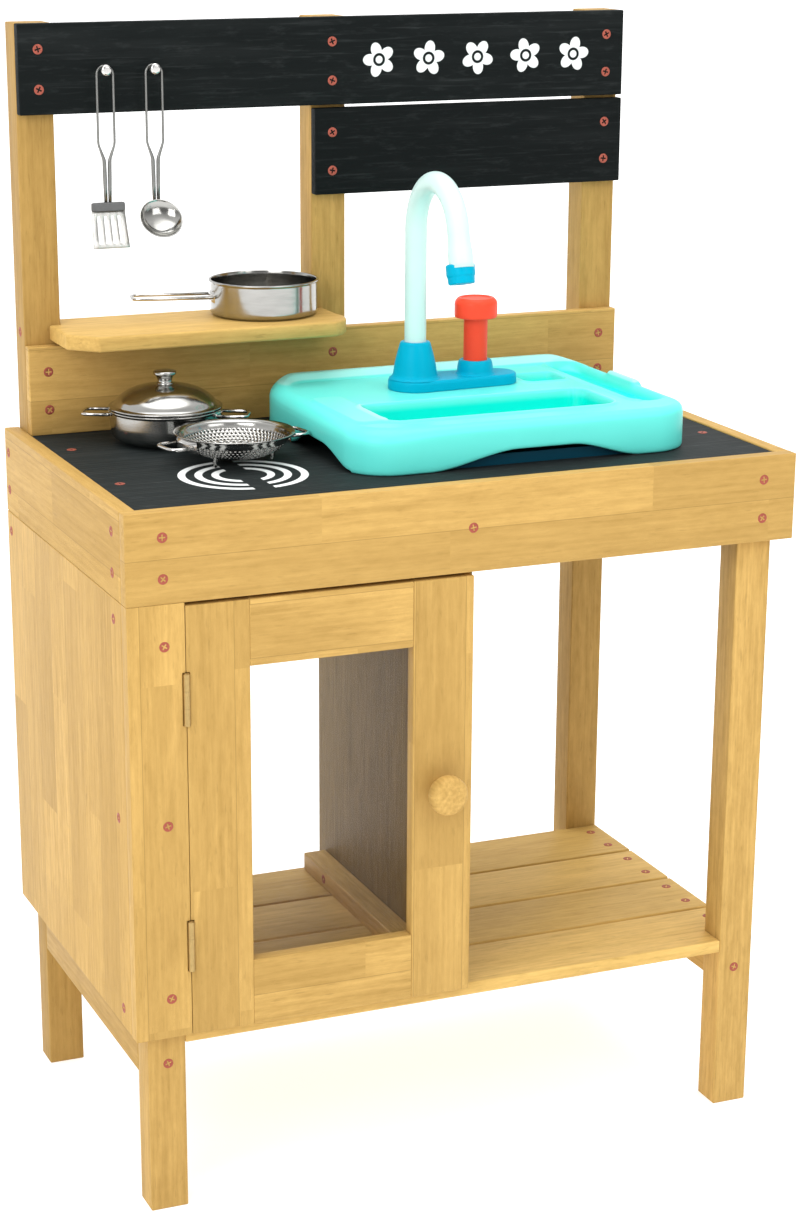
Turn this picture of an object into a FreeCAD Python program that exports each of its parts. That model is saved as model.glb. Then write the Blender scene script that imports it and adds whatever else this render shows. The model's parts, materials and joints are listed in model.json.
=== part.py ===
import FreeCAD, Part
import Sketcher
import math
import os

# A children's mud kitchen in pine: an open frame of square posts under a slatted black
# counter, a cupboard with a windowed door, a back wall of boards with a shelf and two
# utensil pegs, a loose toy sink with a pump tap, and toy pots.
# Lengths are millimetres. X runs to the right, Z up, and Y to the back. Depths are counted
# from the front face of the apron; every piece is then moved forward by mid_depth, so that
# the origin lies under the middle of the whole.

SIZES = {
    # Frame
    "inner_half_width": 298,       # from the middle to the inside of a side board
    "board_t": 14,                 # aprons, side panel and cupboard stile
    "post_width": 34,
    "post_depth": 30,
    "side_overhang": 2,            # side boards reach this far behind the posts
    "slat_width": 78,
    "slat_gap": 4,
    "slat_t": 12,
    "counter_height": 633,
    "apron_rise": 1,               # aprons stand this much above the counter
    "apron_height": 78,
    "floor_height": 168.5,         # top of the lower shelf
    "cupboard_gap": 1.5,           # between the lower shelf and the door and panel
    # Back wall
    "back_board_t": 11.4,
    "splash_height": 81.5,
    "window_height": 124.5,        # from the splash board to the lower black board
    "black_board_height": 79,
    "black_board_gap": 3,
    "centre_post_x": -1.5,
    # Cupboard
    "stile_width": 50,
    "divider_reveal": 4.6,         # the divider shows this much right of the door
    "divider_t": 12,
    "divider_overhang": 12,        # the divider reaches this far behind the lower slats
    "batten_width": 23.4,
    "batten_height": 18,
    "batten_inset": 6,
    # Door
    "hinge_gap": 0.6,
    "door_width": 260.4,
    "door_top_gap": 3,
    "door_t": 13,
    "door_stile_width": 56,
    "door_top_rail": 58,
    "door_bottom_rail": 60,
    "pane_t": 2,
    "pane_lap": 8,
    "knob_inset": 31,
    "knob_rise": 2.5,              # above the door's middle
    "knob_r": 18,
    "knob_reach": 28,
    "knob_neck_r": 8,
    "knob_neck": 9,
    "knob_round": 5,
    # Hinges
    "hinge_length": 45,
    "hinge_low_inset": 82,         # hinge middles, from the door's ends
    "hinge_high_inset": 80.5,
    "knuckle_r": 3,
    "pin_r": 1.25,
    "pin_fit": 0.1,                # at the corners of the many-sided bore
    "pin_forward": 0.6,
    "pin_head_t": 0.8,
    "pin_head_r": 2.2,
    "leaf_t": 0.9,
    "leaf_play": 0.2,              # between the two leaves of a hinge
    "leaf_depth": 12,
    "hinge_clearance": 0.3,
    # Magnetic catch
    "catch_inset": 38,             # below the door's top
    "catch_width": 13,
    "catch_depth": 22,
    "catch_height": 30,
    "catch_gap": 0.5,
    "strike_width": 12,
    "strike_height": 22,
    "strike_t": 1.2,
    # Shelf
    "shelf_rise": 3.5,             # above the splash board
    "shelf_t": 14,
    "shelf_front": 259,
    "shelf_lap": 11,               # how far it covers each post's front
    "shelf_chamfer": 24,
    "shelf_corner_x": 18,
    "shelf_corner_y": 41,
    "shelf_corner_bulge": 9,
    # Utensil pegs
    "peg_inset": 40.5,             # below the black board's top
    "peg_r": 2,
    "peg_length": 14,
    "peg_head_r": 5,
    "peg_head_t": 4,
    "turner_inset": 89.5,          # from the left side
    "peg_pitch": 45.5,
    "utensil_stand_off": 10.6,     # from the black board to the utensils' wires
    # Wood screws
    "screw_head_r": 4.5,
    "screw_head_t": 2.6,
    "screw_rise": 0.4,             # heads stand proud of the wood
    "screw_r": 2,
    "screw_length": 32,
    "short_screw_length": 24,
    "screw_row": 17.5,             # half the distance of two screws in one board end
    "screw_edge": 18,              # from a board's end
    "counter_screw_y": 113,        # front screws of the counter top
    "counter_screw_pitch": 145,
    # Sink
    "sink_x": 77,
    "sink_front_share": 0.6143,    # of the spare depth of the counter
    "sink_width": 328,
    "sink_depth": 254,
    "sink_height": 40,
    "sink_corner": 42,
    "sink_edge": 8.5,
    "sink_wall": 3,
    "deck_t": 6,
    "upstand_rise": 7,
    "upstand_width": 18,
    "upstand_inset": 26.5,         # from the sink's side to where the level crest starts
    "basin_x": -9,                 # basin middle from the sink's middle
    "basin_y": -57,
    "basin_width": 228,
    "basin_depth": 76,
    "basin_floor": 13,
    "basin_corner": 16,
    "lip_rise": 1.6,
    "lip_width": 4,
    "soap_x": 93,
    "soap_y": 55.5,
    "soap_width": 50,
    "soap_depth": 39,
    "soap_drop": 8,
    "groove_x": 137,
    "groove_y": 11.5,
    "groove_width": 26,
    "groove_depth": 183,
    "tray_x": -143,
    "tray_y": -32,
    "tray_width": 24,
    "tray_depth": 110,
    "groove_drop": 2.5,
    "front_arch_x": 10.5,
    "front_arch_width": 185,
    "front_arch_height": 15,
    "side_arch_y": -28.5,
    "side_arch_width": 131,
    "side_arch_height": 15,
    # Reservoir under the basin
    "tub_x": 13,
    "tub_y": -7,
    "tub_width": 180,
    "tub_depth": 220,
    "tub_height": 9.5,
    "tub_wall": 1.5,
    # Tap
    "tap_inset": 168,              # from the sink's front
    "spout_x": 36.5,
    "plate_t": 10,
    "spout_lobe_r": 25,
    "pump_lobe_r": 19.5,
    "pump_lobe_x": 81.5,           # from the spout's axis
    "boss_low_r": 21.7,
    "boss_top_r": 14.3,
    "boss_height": 33.6,
    "spout_r": 9.9,
    "spout_fit": 0.05,
    "spout_seat": 30,
    "spout_column": 101.4,         # above the boss
    "spout_bend_r": 47,
    "spout_bend_angle": 167,
    "spout_drop": 31,
    "nozzle_r": 12.5,
    "nozzle_height": 19,
    "nozzle_wall": 1.2,
    "nozzle_socket": 8,
    "nozzle_outlet_r": 4,
    "nozzle_lap": 5,
    # Pump
    "pump_x": 60.5,                # from the spout's axis
    "pump_boss_r": 15,
    "pump_boss_height": 13,
    "stem_r": 11,
    "stem_fit": 0.05,
    "stem_up": 39,                 # above the pump's boss
    "stem_down": 28,               # below it
    "cap_r": 20,
    "cap_height": 18.5,
    "cap_round": 6,
    "cylinder_r": 13.5,
    "cylinder_fit": 0.3,
    "cylinder_foot": 3.5,          # above the counter
    "cylinder_floor_t": 1.5,
    "spring_r": 9,
    "spring_wire": 1.2,
    "spring_slack": 0.3,
    # Cooking pots
    "tin_t": 1.2,
    "wire_r": 1.6,
    "tab_t": 1.6,
    "tab_height": 10,
    "weld": 0.1,
    "casserole_x": -190,
    "casserole_y": 262,
    "casserole_r": 50,
    "casserole_height": 31,
    "casserole_foot": 12,
    "casserole_angle": -27,
    "casserole_reach": 77,
    "casserole_handle_z": 26,
    "casserole_handle_width": 27,
    "lid_r": 51.5,
    "lid_rim": 2,
    "lid_dome": 20,
    "lid_gap": 0.3,
    "lid_knob_neck_r": 7.5,
    "lid_knob_neck": 5,
    "lid_knob_r": 10.5,
    "lid_knob_t": 7,
    "colander_x": -160,
    "colander_y": 161,
    "colander_r": 50.5,
    "colander_rim_r": 53.5,
    "colander_height": 27,
    "colander_foot_r": 20,
    "colander_foot": 4,
    "colander_reach": 71.5,
    "colander_angle": 10,
    "colander_handle_width": 30,
    "saucepan_x": -71,
    "saucepan_y": 326,
    "saucepan_r": 50,
    "saucepan_height": 33,
    "saucepan_foot": 3,
    "saucepan_handle_z": 18,
    "saucepan_angle": 168,
    "saucepan_reach": 125,
    "saucepan_handle_width": 25,
    "handle_bend_r": 8,
    # Utensils
    "shank_r": 1.1,
    "neck_spread": 8,              # between the two wires at the neck
    "foot_spread": 5,              # and at the lower end
    "loop_r": 7.6,
    "loop_rest": 0.3,              # between the loop and the top of its peg
    "neck_drop": 69.5,             # below the peg
    "shank_drop": 116.5,
    "turner_bar_width": 31,
    "turner_bar_height": 10,
    "turner_bar_t": 4,
    "blade_top_width": 31,
    "blade_width": 33,
    "blade_height": 33,
    "blade_t": 1.5,
    "blade_slot_width": 3.2,
    "blade_slot_pitch": 8,
    "blade_slot_inset": 6,
    "ladle_r": 20,
    "ladle_deep": 9,
    "ladle_tilt": 38,
    "overrun": 1,                  # how far a cut starts outside its piece
}

doc = FreeCAD.newDocument("MudKitchen")
PIECES = []
POT_SIDES = 36       # flat sides round a cooking pot
SMALL_SIDES = 20     # and round a knob or the tap's small parts
PEG_SIDES = 10       # round a utensil peg
SCREW_SIDES = 6      # round a wood screw
KNUCKLE_SIDES = 12   # round a hinge's barrel
SPOUT_SIDES = 12     # round the spout
LOBE_BENDS = 12      # along each round end of the tap's plate
EYE_BENDS = 6        # bends in the eye of a utensil's wire


def write_sheet():
    """Put every driving size into the spreadsheet, one named cell each."""
    page = doc.addObject("Spreadsheet::Sheet", "Sizes")
    for row, (name, number) in enumerate(SIZES.items(), start=1):
        page.set(f"A{row}", name)
        page.set(f"B{row}", str(number))
        page.setAlias(f"B{row}", name)
    doc.recompute()
    return page


SHEET = write_sheet()


class Size:
    """A length that knows its number and the sheet formula that gives it."""

    def __init__(self, formula, number):
        self.formula = formula
        self.number = float(number)

    def __float__(self):
        return self.number

    def __add__(self, other):
        return joined(self, "+", other)

    def __radd__(self, other):
        return joined(other, "+", self)

    def __sub__(self, other):
        return joined(self, "-", other)

    def __rsub__(self, other):
        return joined(other, "-", self)

    def __mul__(self, other):
        return joined(self, "*", other)

    def __rmul__(self, other):
        return joined(other, "*", self)

    def __truediv__(self, other):
        return joined(self, "/", other)

    def __neg__(self):
        return joined(0, "-", self)


def formula_of(value):
    """The sheet formula of a size, or the plain number itself."""
    return value.formula if isinstance(value, Size) else str(value)


def joined(left, sign, right):
    """Two values joined by one sign of arithmetic, in number and in formula."""
    first, second = float(left), float(right)
    if sign == "+":
        number = first + second
    elif sign == "-":
        number = first - second
    elif sign == "*":
        number = first * second
    else:
        number = first / second
    return Size(f"({formula_of(left)} {sign} {formula_of(right)})", number)


def cosine(angle):
    """The cosine of an angle in degrees."""
    return Size(f"cos({formula_of(angle)} * 1 deg)", math.cos(math.radians(float(angle))))


def sine(angle):
    """The sine of an angle in degrees."""
    return Size(f"sin({formula_of(angle)} * 1 deg)", math.sin(math.radians(float(angle))))


class Named:
    """Gives each cell of the sheet as a Size."""

    def __getattr__(self, name):
        return Size(f"Sizes.{name}", SHEET.get(name))


def larger(first, second):
    """The larger of two sizes."""
    number = max(float(first), float(second))
    return Size(f"max({formula_of(first)}; {formula_of(second)})", number)


at = Named()

# Heights and depths that many pieces share
side_face = at.inner_half_width + at.board_t
post_inner = at.inner_half_width - at.post_width
posts_front = at.board_t + 4 * at.slat_width + 3 * at.slat_gap
posts_back = posts_front + at.post_depth
sides_back = posts_back + at.side_overhang
boards_front = posts_front - at.back_board_t
splash_top = at.counter_height + at.splash_height
total_height = splash_top + at.window_height + 2 * at.black_board_height + at.black_board_gap
whole_back = larger(sides_back, at.saucepan_y + at.saucepan_r)
mid_depth = (whole_back - at.knob_reach) / 2
leg_back = at.board_t + at.post_depth
counter_under = at.counter_height - at.slat_t
apron_top = at.counter_height + at.apron_rise
apron_bottom = apron_top - at.apron_height
rail_top = at.floor_height - at.slat_t
cupboard_bottom = at.floor_height + at.cupboard_gap
rail_inner = at.inner_half_width - at.post_depth
stile_right = at.stile_width - side_face
door_left = stile_right + at.hinge_gap
door_right = door_left + at.door_width
door_top = apron_bottom - at.door_top_gap
pin_x = stile_right + at.hinge_gap / 2
fixed_leaf_x = (pin_x - at.leaf_play / 2 - at.leaf_t, pin_x - at.leaf_play / 2)
moving_leaf_x = (pin_x + at.leaf_play / 2, pin_x + at.leaf_play / 2 + at.leaf_t)
knob_z = (cupboard_bottom + door_top) / 2 + at.knob_rise
divider_left = door_right + at.divider_reveal - at.divider_t
centre_post_left = at.centre_post_x - at.post_width / 2
centre_post_right = at.centre_post_x + at.post_width / 2
peg_z = total_height - at.peg_inset
turner_x = at.turner_inset - side_face
ladle_x = turner_x + at.peg_pitch
sink_front = at.board_t + (boards_front - at.board_t - at.sink_depth) * at.sink_front_share
tap_y = sink_front + at.tap_inset
black_top_bottom = total_height - at.black_board_height
black_low_top = black_top_bottom - at.black_board_gap
utensil_y = boards_front - at.utensil_stand_off


def bind(thing, links):
    """Tie properties of an object to formulas of the sheet."""
    for name, value in links.items():
        thing.setExpression(name, formula_of(value))


def place(thing, x, y, z):
    """Put an object at a place; y is counted from the apron's front face."""
    spot = {"Placement.Base.x": x, "Placement.Base.y": y - mid_depth, "Placement.Base.z": z}
    bind(thing, spot)


def keep(thing, label):
    """Take an object into the list of finished pieces under its own name."""
    thing.Label = label
    PIECES.append(thing)
    return thing


def block(name, x, y, z):
    """A squared block between two places along each axis."""
    solid = doc.addObject("Part::Box", name)
    bind(solid, {"Length": x[1] - x[0], "Width": y[1] - y[0], "Height": z[1] - z[0]})
    place(solid, x[0], y[0], z[0])
    return solid


def board(label, x, y, z):
    """A board or post that is kept as it is sawn."""
    return keep(block(label, x, y, z), label)


def fused(label, parts):
    """Several blocks or bodies in one node."""
    whole = doc.addObject("Part::Compound", label)
    whole.Links = parts
    return keep(whole, label)


def body(label, x=0, y=0, z=0):
    """An empty part body whose own origin stands at a place."""
    piece = doc.addObject("PartDesign::Body", label)
    place(piece, x, Size(formula_of(y), float(y)), z)
    return keep(piece, label)


def drawing(piece, name, plane, offset=0):
    """A sketch on one of the body's own origin planes, moved along its normal."""
    sheet = piece.newObject("Sketcher::SketchObject", name)
    origin = [side for side in piece.Origin.OriginFeatures if side.Role == plane][0]
    sheet.AttachmentSupport = [(origin, "")]
    sheet.MapMode = "FlatFace"
    sheet.setExpression("AttachmentOffset.Base.z", formula_of(offset))
    return sheet


def pin_point(sheet, item, end, x, y):
    """Fix one point of a sketch by its two distances from the origin."""
    for kind, value in (("DistanceX", x), ("DistanceY", y)):
        number = sheet.addConstraint(Sketcher.Constraint(kind, -1, 1, item, end, float(value)))
        if isinstance(value, Size):
            sheet.setExpression(f"Constraints[{number}]", value.formula)


def arc_middle(start, end, bulge):
    """The middle point of an arc that stands out by bulge to the left of its chord."""
    x = (start[0] + end[0]) / 2
    y = (start[1] + end[1]) / 2
    run = math.hypot(end[0] - start[0], end[1] - start[1])
    x -= (end[1] - start[1]) / run * bulge
    y += (end[0] - start[0]) / run * bulge
    return FreeCAD.Vector(x, y, 0)


def outline(sheet, corners, bulges=None):
    """A closed line through corners; bulges turns the side after a corner into an arc."""
    bulges = bulges or {}
    numbers = [(float(x), float(y)) for x, y in corners]
    ends = []
    for index, start in enumerate(numbers):
        end = numbers[(index + 1) % len(numbers)]
        begin, finish = FreeCAD.Vector(*start, 0), FreeCAD.Vector(*end, 0)
        if index in bulges:
            middle = arc_middle(start, end, float(bulges[index]))
            item = sheet.addGeometry(Part.Arc(begin, middle, finish))
            flipped = float(bulges[index]) > 0
            ends.append((item, 2, 1) if flipped else (item, 1, 2))
        else:
            item = sheet.addGeometry(Part.LineSegment(begin, finish))
            ends.append((item, 1, 2))
    for index, (item, first, last) in enumerate(ends):
        following = ends[(index + 1) % len(ends)]
        sheet.addConstraint(Sketcher.Constraint("Coincident", item, last, following[0], following[1]))
        pin_point(sheet, item, first, *corners[index])
        if index in bulges:
            link_radius(sheet, item, corners[index], corners[(index + 1) % len(ends)], bulges[index])
    return sheet


def link_radius(sheet, item, start, end, bulge):
    """Fix an arc's radius from its chord and how far it stands out."""
    across, up = end[0] - start[0], end[1] - start[1]
    chord_squared = across * across + up * up
    radius = (chord_squared / 4 + bulge * bulge) / (2 * bulge)
    if float(radius) < 0:
        radius = -radius
    number = sheet.addConstraint(Sketcher.Constraint("Radius", item, float(radius)))
    sheet.setExpression(f"Constraints[{number}]", formula_of(radius))


def circle(sheet, x, y, radius):
    """A circle in a sketch."""
    centre = FreeCAD.Vector(float(x), float(y), 0)
    item = sheet.addGeometry(Part.Circle(centre, FreeCAD.Vector(0, 0, 1), float(radius)))
    pin_point(sheet, item, 3, x, y)
    number = sheet.addConstraint(Sketcher.Constraint("Radius", item, float(radius)))
    sheet.setExpression(f"Constraints[{number}]", formula_of(radius))
    return sheet


def rectangle(x, y):
    """The four corners between two places along each axis."""
    return [(x[0], y[0]), (x[1], y[0]), (x[1], y[1]), (x[0], y[1])]


def pad(piece, sheet, length, reverse=False):
    """Raise a sketch into the body."""
    feature = piece.newObject("PartDesign::Pad", "Pad")
    feature.Profile = sheet
    feature.Reversed = reverse
    bind(feature, {"Length": length})
    doc.recompute()
    return feature


def pocket(piece, sheet, length, reverse=False):
    """Cut a sketch out of the body and make sure that something was cut."""
    before = piece.Shape.Volume
    feature = piece.newObject("PartDesign::Pocket", "Pocket")
    feature.Profile = sheet
    feature.Reversed = reverse
    bind(feature, {"Length": length})
    doc.recompute()
    if not piece.Shape.Volume < before:
        raise RuntimeError(f"the pocket {sheet.Name} of {piece.Label} cuts nothing")
    return feature


def turn(piece, sheet):
    """Turn a sketch round its own upright axis."""
    feature = piece.newObject("PartDesign::Revolution", "Turned")
    feature.Profile = sheet
    feature.ReferenceAxis = (sheet, ["V_Axis"])
    feature.Angle = 360
    doc.recompute()
    return feature


def ease_edges(piece, base, kind, amount, chosen):
    """Fillet (by Radius) or chamfer (by Size) the edges of the last feature that the test picks."""
    names = [f"Edge{n}" for n, edge in enumerate(base.Shape.Edges, start=1) if chosen(edge)]
    feature = piece.newObject("PartDesign::" + kind, "Eased")
    feature.Base = (base, names)
    bind(feature, {"Radius" if kind == "Fillet" else "Size": amount})
    doc.recompute()
    return feature


def upright(edge):
    """Whether an edge runs straight up."""
    box = edge.BoundBox
    return box.XLength + box.YLength < float(at.pin_fit) < box.ZLength


def lying_at(height):
    """A test for edges that lie level at one height."""
    def test(edge):
        box = edge.BoundBox
        return max(abs(box.ZMin - float(height)), abs(box.ZMax - float(height))) < float(at.pin_fit)
    return test


def build_frame():
    """The posts, aprons, rails and cleats that carry everything."""
    left, right = (-at.inner_half_width, -post_inner), (post_inner, at.inner_half_width)
    front, back = (at.board_t, leg_back), (posts_front, posts_back)
    board("leg_front_left", left, front, (0 * at.post_width, counter_under))
    board("leg_front_right", right, front, (0 * at.post_width, counter_under))
    board("post_back_left", left, back, (0 * at.post_width, total_height))
    board("post_back_right", right, back, (0 * at.post_width, total_height))
    middle = (centre_post_left, centre_post_right)
    board("post_back_centre", middle, back, (apron_bottom, total_height))
    band = (apron_bottom, apron_top)
    board("apron_front", (-side_face, side_face), (0 * at.board_t, at.board_t), band)
    board("apron_left", (-side_face, -at.inner_half_width), (at.board_t, sides_back), band)
    board("apron_right", (at.inner_half_width, side_face), (at.board_t, sides_back), band)
    inside = (-at.inner_half_width, at.inner_half_width)
    board("back_rail", inside, (boards_front, posts_front), (apron_bottom, counter_under))
    cleat_z = (counter_under - at.post_width, counter_under)
    rails("counter_cleats", (leg_back, boards_front), cleat_z)
    rails("side_rails", (leg_back, posts_front), (rail_top - at.post_width, rail_top))


def rails(label, y, z):
    """Two square rails, one along each side of the frame."""
    left = block(label + "_left", (-at.inner_half_width, -rail_inner), y, z)
    right = block(label + "_right", (rail_inner, at.inner_half_width), y, z)
    fused(label, [left, right])


def slat_front(index):
    """The front edge of a counter or floor board, counted from the front."""
    return at.board_t + index * (at.slat_width + at.slat_gap)


def build_counter():
    """One wide black top from side to side, under the splash board at the back."""
    inside = (-at.inner_half_width, at.inner_half_width)
    board("counter_top", inside, (at.board_t, posts_front), (counter_under, at.counter_height))


def build_floor():
    """The lower shelf: three plain slats, and a front one notched round the legs."""
    front = drawing(body("slat_1"), "slat_outline", "XY_Plane", rail_top)
    half, inner = at.inner_half_width, post_inner
    corners = [(-inner, at.board_t), (inner, at.board_t), (inner, leg_back), (half, leg_back)]
    corners += [(half, slat_front(0) + at.slat_width), (-half, slat_front(0) + at.slat_width)]
    corners += [(-half, leg_back), (-inner, leg_back)]
    pad(PIECES[-1], outline(front, corners), at.slat_t)
    for index in range(1, 4):
        depth = (slat_front(index), slat_front(index) + at.slat_width)
        board(f"slat_{index + 1}", (-half, half), depth, (rail_top, at.floor_height))


def build_cupboard():
    """The closed left half below the counter: panel, stile, divider and its batten."""
    upright_z = (cupboard_bottom, apron_bottom)
    board("side_panel", (-side_face, -at.inner_half_width), (at.board_t, sides_back), upright_z)
    stile = body("fixed_stile")
    face = outline(drawing(stile, "stile_face", "XZ_Plane"), rectangle((-side_face, stile_right), upright_z))
    pad(stile, face, at.board_t, True)
    cut_hinges(stile, pin_x - at.knuckle_r - at.hinge_clearance, fixed_leaf_x[0], stile_right + at.overrun)
    divider = body("divider")
    side = drawing(divider, "divider_side", "YZ_Plane", divider_left)
    back = posts_front + at.divider_overhang
    corners = [(at.board_t, at.floor_height), (back, at.floor_height), (back, apron_bottom)]
    corners += [(boards_front, apron_bottom), (boards_front, counter_under), (at.board_t, counter_under)]
    pad(divider, outline(side, corners), at.divider_t)
    batten_x = (divider_left - at.batten_width, divider_left)
    batten_y = (at.board_t + at.batten_inset, posts_front - at.batten_inset)
    board("divider_batten", batten_x, batten_y, (at.floor_height, at.floor_height + at.batten_height))


def hinge_bottoms():
    """The lower ends of the two hinges."""
    low, high = cupboard_bottom + at.hinge_low_inset, door_top - at.hinge_high_inset
    return [low - at.hinge_length / 2, high - at.hinge_length / 2]


def cut_hinges(piece, notch_x, leaf_x, edge_x):
    """Both hinges' places in a stile's edge: a notch for the barrel, a flat seat for the leaf."""
    barrel = at.knuckle_r - at.pin_forward + at.hinge_clearance
    leaf = at.leaf_depth + at.hinge_clearance
    for number, low in enumerate(hinge_bottoms()):
        ends_z = (low - at.hinge_clearance, low + at.hinge_length + at.pin_head_t + at.hinge_clearance)
        for name, side_x, deep in (("barrel", notch_x, barrel), ("leaf", leaf_x, leaf)):
            ends_x = (side_x, edge_x) if float(side_x) < float(edge_x) else (edge_x, side_x)
            sheet = drawing(piece, f"{name}_seat_{number}", "XZ_Plane", at.overrun)
            pocket(piece, outline(sheet, rectangle(ends_x, ends_z)), deep + at.overrun)


def build_back_wall():
    """The splash board, two black boards, the shelf and the pegs."""
    inside = (-at.inner_half_width, at.inner_half_width)
    depth = (boards_front, posts_front)
    board("splash_board", inside, depth, (at.counter_height, splash_top))
    board("black_board_top", inside, depth, (black_top_bottom, total_height))
    low = (black_low_top - at.black_board_height, black_low_top)
    board("black_board_low", (centre_post_left, at.inner_half_width), depth, low)
    build_shelf()
    feature("utensil_pegs", Part.makeCompound([peg_shape(turner_x), peg_shape(ladle_x)]))


def build_shelf():
    """A shelf between two posts, with ears in front of them and two shaped corners."""
    shelf = body("shelf")
    plan = drawing(shelf, "shelf_plan", "XY_Plane", splash_top + at.shelf_rise)
    left = -post_inner - at.shelf_lap
    right = centre_post_left + at.shelf_lap
    corners = [(left + at.shelf_chamfer, at.shelf_front), (right - at.shelf_corner_x, at.shelf_front)]
    corners += [(right, at.shelf_front + at.shelf_corner_y), (right, posts_front)]
    corners += [(centre_post_left, posts_front), (centre_post_left, posts_back)]
    corners += [(-post_inner, posts_back), (-post_inner, posts_front), (left, posts_front)]
    corners += [(left, at.shelf_front + at.shelf_chamfer)]
    pad(shelf, outline(plan, corners, {1: -at.shelf_corner_bulge}), at.shelf_t)


def turned(name, profile, x, y, z, bulges=None):
    """A piece turned round an upright axis, from its profile of radius and height."""
    piece = doc.addObject("PartDesign::Body", name)
    place(piece, x, y, z)
    turn(piece, outline(drawing(piece, name + "_profile", "XZ_Plane"), profile, bulges))
    return piece


def peg_shape(x):
    """A round-headed peg that stands out of the black board."""
    long = at.peg_length
    rings = [(at.peg_r, 0 * long), (at.peg_r, long)]
    rings += [(at.peg_head_r, long), (at.peg_head_r, long + at.peg_head_t)]
    shape = faceted(rings, PEG_SIDES)
    shape.rotate(FreeCAD.Vector(0, 0, 0), FreeCAD.Vector(1, 0, 0), 90)
    shape.translate(FreeCAD.Vector(float(x), float(boards_front), float(peg_z)))
    return shape


def build_door():
    """A four-piece frame with a clear pane, a turned knob and a steel strike plate."""
    window_x = (door_left + at.door_stile_width, door_right - at.door_stile_width)
    window_z = (cupboard_bottom + at.door_bottom_rail, door_top - at.door_top_rail)
    thick = (0 * at.door_t, at.door_t)
    stile = body("door_stile_left")
    face = rectangle((door_left, window_x[0]), (cupboard_bottom, door_top))
    pad(stile, outline(drawing(stile, "door_stile_face", "XZ_Plane"), face), at.door_t, True)
    cut_hinges(stile, pin_x + at.knuckle_r + at.hinge_clearance, moving_leaf_x[1], door_left - at.overrun)
    board("door_stile_right", (window_x[1], door_right), thick, (cupboard_bottom, door_top))
    board("door_rail_top", window_x, thick, (window_z[1], door_top))
    board("door_rail_bottom", window_x, thick, (cupboard_bottom, window_z[0]))
    pane_x = (window_x[0] - at.pane_lap, window_x[1] + at.pane_lap)
    pane_z = (window_z[0] - at.pane_lap, window_z[1] + at.pane_lap)
    board("door_pane", pane_x, (at.door_t, at.door_t + at.pane_t), pane_z)
    build_knob()
    strike_x = (divider_left - at.catch_width, divider_left - at.catch_width + at.strike_width)
    middle = door_top - at.catch_inset
    strike_z = (middle - at.strike_height / 2, middle + at.strike_height / 2)
    board("strike_plate", strike_x, (at.door_t, at.door_t + at.strike_t), strike_z)
    catch_y = at.door_t + at.strike_t + at.catch_gap
    catch_z = (middle - at.catch_height / 2, middle + at.catch_height / 2)
    catch_x = (divider_left - at.catch_width, divider_left)
    board("magnetic_catch", catch_x, (catch_y, catch_y + at.catch_depth), catch_z)


def build_knob():
    """A turned wooden knob on a neck."""
    reach, neck = at.knob_reach, at.knob_neck
    rings = [(at.knob_neck_r, 0 * neck), (at.knob_neck_r, neck), (at.knob_r, neck + at.knob_round)]
    rings += [(at.knob_r, reach - at.knob_round), (at.knob_r - at.knob_round, reach)]
    knob = faceted(rings, SMALL_SIDES)
    knob.rotate(FreeCAD.Vector(0, 0, 0), FreeCAD.Vector(1, 0, 0), 90)
    stand("door_knob", knob, door_right - at.knob_inset, 0 * at.door_t, knob_z)


def many_sided(radius, height, sides):
    """The corners of a regular polygon round the upright axis."""
    step = 2 * math.pi / sides
    reach, up = float(radius), float(height)
    return [FreeCAD.Vector(reach * math.cos(step * n), reach * math.sin(step * n), up) for n in range(sides)]


def faceted(rings, sides):
    """A closed solid of flat faces through many-sided rings of radius and height."""
    loops = [many_sided(radius, height, sides) for radius, height in rings]
    quads = [loops[0], loops[-1]]
    for lower, upper in zip(loops, loops[1:]):
        quads += [[lower[n - 1], lower[n], upper[n], upper[n - 1]] for n in range(sides)]
    faces = [Part.Face(Part.makePolygon(corners + corners[:1])) for corners in quads]
    skin = Part.makeShell(faces)
    skin.sewShape()
    solid = Part.makeSolid(skin)
    if solid.Volume < 0:
        solid.reverse()
    return solid


def shell(outside, inside, sides):
    """The wall between an outer and an inner many-sided form."""
    return faceted(outside, sides).cut(faceted(inside, sides)).removeSplitter()


def stand(label, shape, x, y, z):
    """Keep a worked-out shape as a piece whose own origin stands at a place."""
    piece = doc.addObject("Part::Feature", label)
    piece.Shape = shape
    place(piece, x, y, z)
    return keep(piece, label)


def solid_block(x, y, z):
    """A squared solid from numbers, for shapes that are joined in code."""
    size = [float(side[1]) - float(side[0]) for side in (x, y, z)]
    corner = FreeCAD.Vector(float(x[0]), float(y[0]), float(z[0]))
    return Part.makeBox(*size, corner)


def feature(label, shape):
    """A piece whose shape is worked out in code, moved to the common origin."""
    piece = doc.addObject("Part::Feature", label)
    piece.Shape = shape
    piece.Placement.Base = FreeCAD.Vector(0, -float(mid_depth), 0)
    return keep(piece, label)


def knuckle(low, high, leaf_x):
    """One knuckle of a hinge with the tab that joins it to its leaf."""
    length, bore_r = high - low, at.pin_r + at.pin_fit
    barrel = faceted([(at.knuckle_r, 0 * length), (at.knuckle_r, length)], KNUCKLE_SIDES)
    bore = faceted([(bore_r, -at.overrun), (bore_r, length + at.overrun)], KNUCKLE_SIDES)
    for part in (barrel, bore):
        part.translate(FreeCAD.Vector(float(pin_x), -float(at.pin_forward), float(low)))
    tab = solid_block(leaf_x, (-at.pin_forward + at.pin_r, at.leaf_depth / 2), (low, high))
    return barrel.fuse(tab).cut(bore)


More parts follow.
